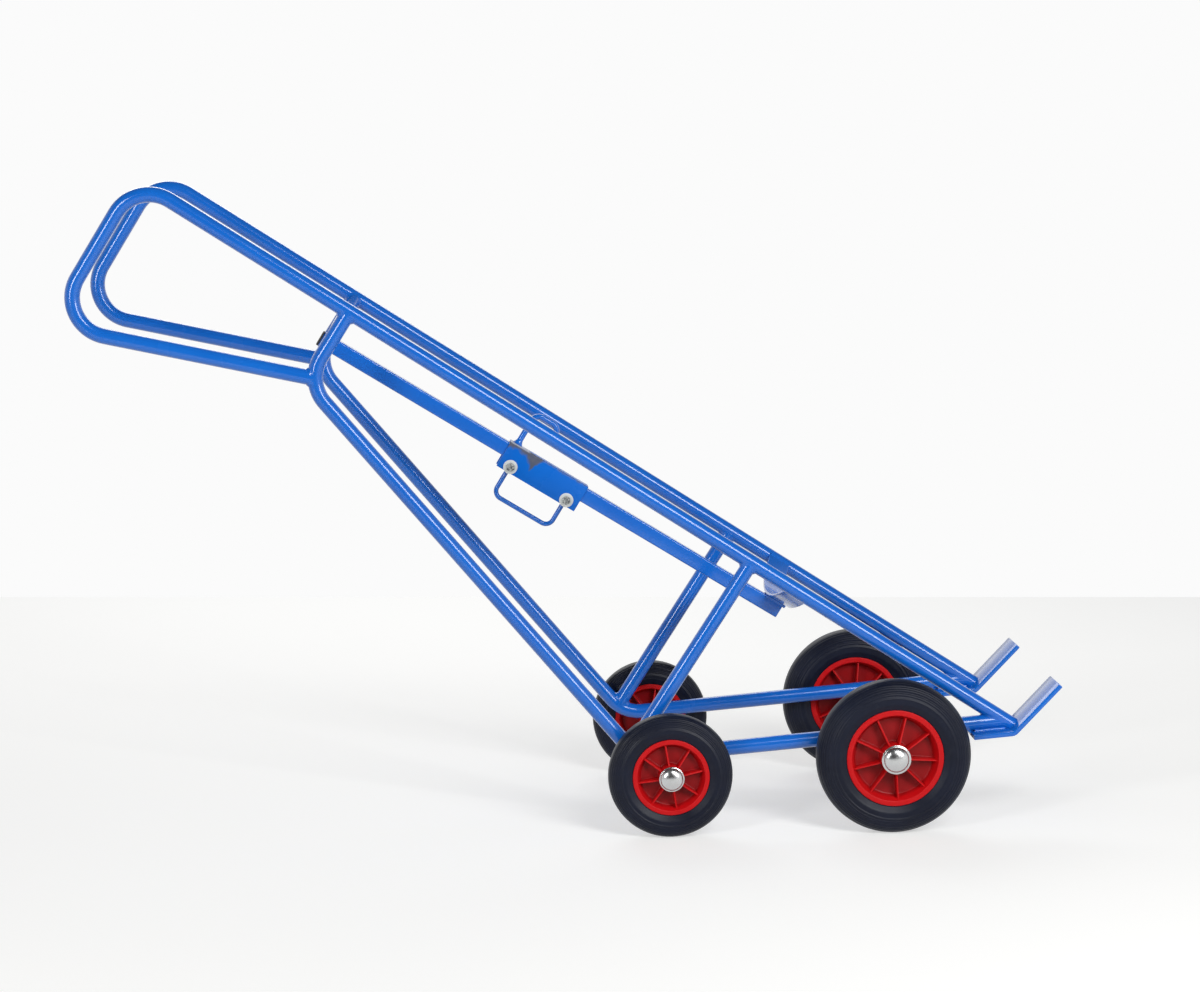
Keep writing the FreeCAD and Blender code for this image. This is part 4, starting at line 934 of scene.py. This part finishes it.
HOOK_RADIUS = 5.0
FOOT_HEIGHT, FOOT_FLARE = 10.0, 4.0
hook_corners = [(-62.5, 3.7), (-62.5, 62.88), (-16.5, 62.88), (-16.5, 33.88)]
hook_points, hook_heading = bent_line(hook_corners, ROD_BEND)
flare = np.linspace(0, FOOT_HEIGHT, 9)
tip_turn = np.linspace(0, np.pi / 2 - 0.05, 9)
flare_points = hook_corners[0] + np.stack([np.zeros(9), flare], axis=-1)
tip_points = hook_corners[-1] - np.stack([np.zeros(9), HOOK_RADIUS * np.sin(tip_turn)], axis=-1)
hook_line = (np.concatenate([flare_points, hook_points[1:-1], tip_points]),
             np.concatenate([np.full(9, hook_heading[0]), hook_heading[1:-1], np.full(9, hook_heading[-1])]))
hook_reach = np.concatenate([HOOK_RADIUS + FOOT_FLARE * (1 - flare / FOOT_HEIGHT) ** 2,
                             np.full(len(hook_points) - 2, HOOK_RADIUS), HOOK_RADIUS * np.cos(tip_turn)])
hook = settle(round_bar(hook_line, hook_reach, 36), CARRIAGE)
skin("rim_hook", [shell(hook)], blue_enamel, "carriage", "drum_hook")


# Studio
# A white floor that keeps the shadow, and a white room with a dark ceiling that comes down behind the camera.
# Two long soft boxes stand right and left of the camera, in line with the tubes, and one hangs behind.

scene = bpy.context.scene
scene.view_settings.view_transform = "Standard"

FLOOR_LIFT = (0.41, 0.57)
ROOM_FILL, ROOM_SEEN = 0.15, 0.965

floor_mesh = bpy.data.meshes.new("studio_floor")
FLOOR_CORNERS = [(-7.5, -2.4, 0.0), (7.5, -2.4, 0.0), (7.5, 1.344, 0.0), (-7.5, 2.714, 0.0)]
floor_mesh.from_pydata(FLOOR_CORNERS, [], [(0, 1, 2, 3)])
floor = bpy.data.objects.new("studio_floor", floor_mesh)
scene.collection.objects.link(floor)


def seen(tree):
    """1 for what the camera sees straight, in a reflection or through glass, and 0 for light on a surface."""
    path = node(tree, "LightPath", {})
    either = node(tree, "Math", {0: path["Is Camera Ray"], 1: path["Is Glossy Ray"]}, operation="MAXIMUM")[0]
    return node(tree, "Math", {0: either, 1: path["Is Transmission Ray"]}, operation="MAXIMUM")[0]


floor_paint = bpy.data.materials.new("studio_floor_white")
floor_paint.use_nodes = True
tree = floor_paint.node_tree
tree.nodes.clear()
matt = node(tree, "BsdfDiffuse", {"Color": linear("#CBCBC9")})[0]
spot = node(tree, "TexCoord", {})["Object"]
depth = node(tree, "SeparateXYZ", {0: spot})[1]
even = node(tree, "MapRange", {"Value": depth, 1: -1.2, 2: 1.2, 3: FLOOR_LIFT[0], 4: FLOOR_LIFT[1]})[0]
lift = node(tree, "Math", {0: seen(tree), 1: even}, operation="MULTIPLY")[0]
glow = node(tree, "Emission", {"Color": linear("#FFFFFF"), "Strength": lift})[0]
both = node(tree, "AddShader", {0: matt, 1: glow})[0]
node(tree, "OutputMaterial", {"Surface": both})
floor_mesh.materials.append(floor_paint)

world = bpy.data.worlds.new("studio_white")
scene.world = world
world.use_nodes = True
tree = world.node_tree
way = node(tree, "TexCoord", {})["Generated"]
facing = node(tree, "VectorMath", {0: way, 1: (-0.25, -0.78, 0.57)}, operation="DOT_PRODUCT")["Value"]
front = node(tree, "MapRange", {"Value": facing, 1: 0.35, 2: 0.8, 3: 1.0, 4: 0.05})[0]
height = node(tree, "SeparateXYZ", {0: way})[2]
ceiling = node(tree, "MapRange", {"Value": height, 1: 0.3, 2: 0.65, 3: 1.0, 4: 0.1})[0]
room = node(tree, "Math", {0: front, 1: ceiling}, operation="MINIMUM")[0]
path = node(tree, "LightPath", {})
mirrored = node(tree, "Mix", {0: path["Is Glossy Ray"], 2: ROOM_FILL, 3: room})[0]
straight = node(tree, "Math", {0: path["Is Camera Ray"], 1: path["Is Transmission Ray"]},
                operation="MAXIMUM")[0]
strength = node(tree, "Mix", {0: straight, 2: mirrored, 3: ROOM_SEEN})[0]
tree.links.new(strength, tree.nodes["Background"].inputs["Strength"])
tree.nodes["Background"].inputs["Color"].default_value = linear("#FFFFFF")


def stand(name, thing, right, back, place):
    """An object for a lamp or a camera at a place, with its X to the right and its Z to the back."""
    holder = bpy.data.objects.new(name, thing)
    scene.collection.objects.link(holder)
    axes = np.column_stack([right, np.cross(back, right), back, place])
    holder.matrix_world = Matrix(np.vstack([axes, (0, 0, 0, 1)]).tolist())
    return holder


LAMPS = {
    "right_soft_box": {"place": (1.55, -2.6, 1.84), "aim": (0.0, 0.0, 0.5), "size": (2.4, 0.85), "power": 76},
    "left_soft_box": {"place": (-2.0, -2.6, 1.35), "aim": (0.2, 0.0, 0.3), "size": (1.4, 0.6), "power": 38},
    "back_soft_box": {"place": (-0.3, 2.6, 2.4), "aim": (0.0, 0.0, 0.5), "size": (2.8, 1.6), "power": 38},
}
for name, lamp in LAMPS.items():
    light = bpy.data.lights.new(name, "AREA")
    light.shape = "RECTANGLE"
    light.size, light.size_y = lamp["size"]
    light.energy = lamp["power"]
    back = unit(np.subtract(lamp["place"], lamp["aim"]))
    stand(name, light, unit(np.cross((0.0, 1.0, 0.0), back)), back, lamp["place"])

# The camera stands where the picture was taken from: its place, turn, dip and tilt were solved from the
# wheels and the tubes.
CAMERA_PLACE = (-0.21171, -4.62885, 1.18069)
YAW, PITCH, ROLL = 0.0578469, 0.1394211, -0.0058095
forward = np.array([np.sin(YAW) * np.cos(PITCH), np.cos(YAW) * np.cos(PITCH), -np.sin(PITCH)])
level = np.array([np.cos(YAW), -np.sin(YAW), 0.0])
rise = np.cross(level, forward)
lens = bpy.data.cameras.new("photo_camera")
lens.sensor_fit = "HORIZONTAL"
lens.sensor_width = 36.0
lens.lens = 83.63
scene.camera = stand("photo_camera", lens, np.cos(ROLL) * level + np.sin(ROLL) * rise, -forward, CAMERA_PLACE)
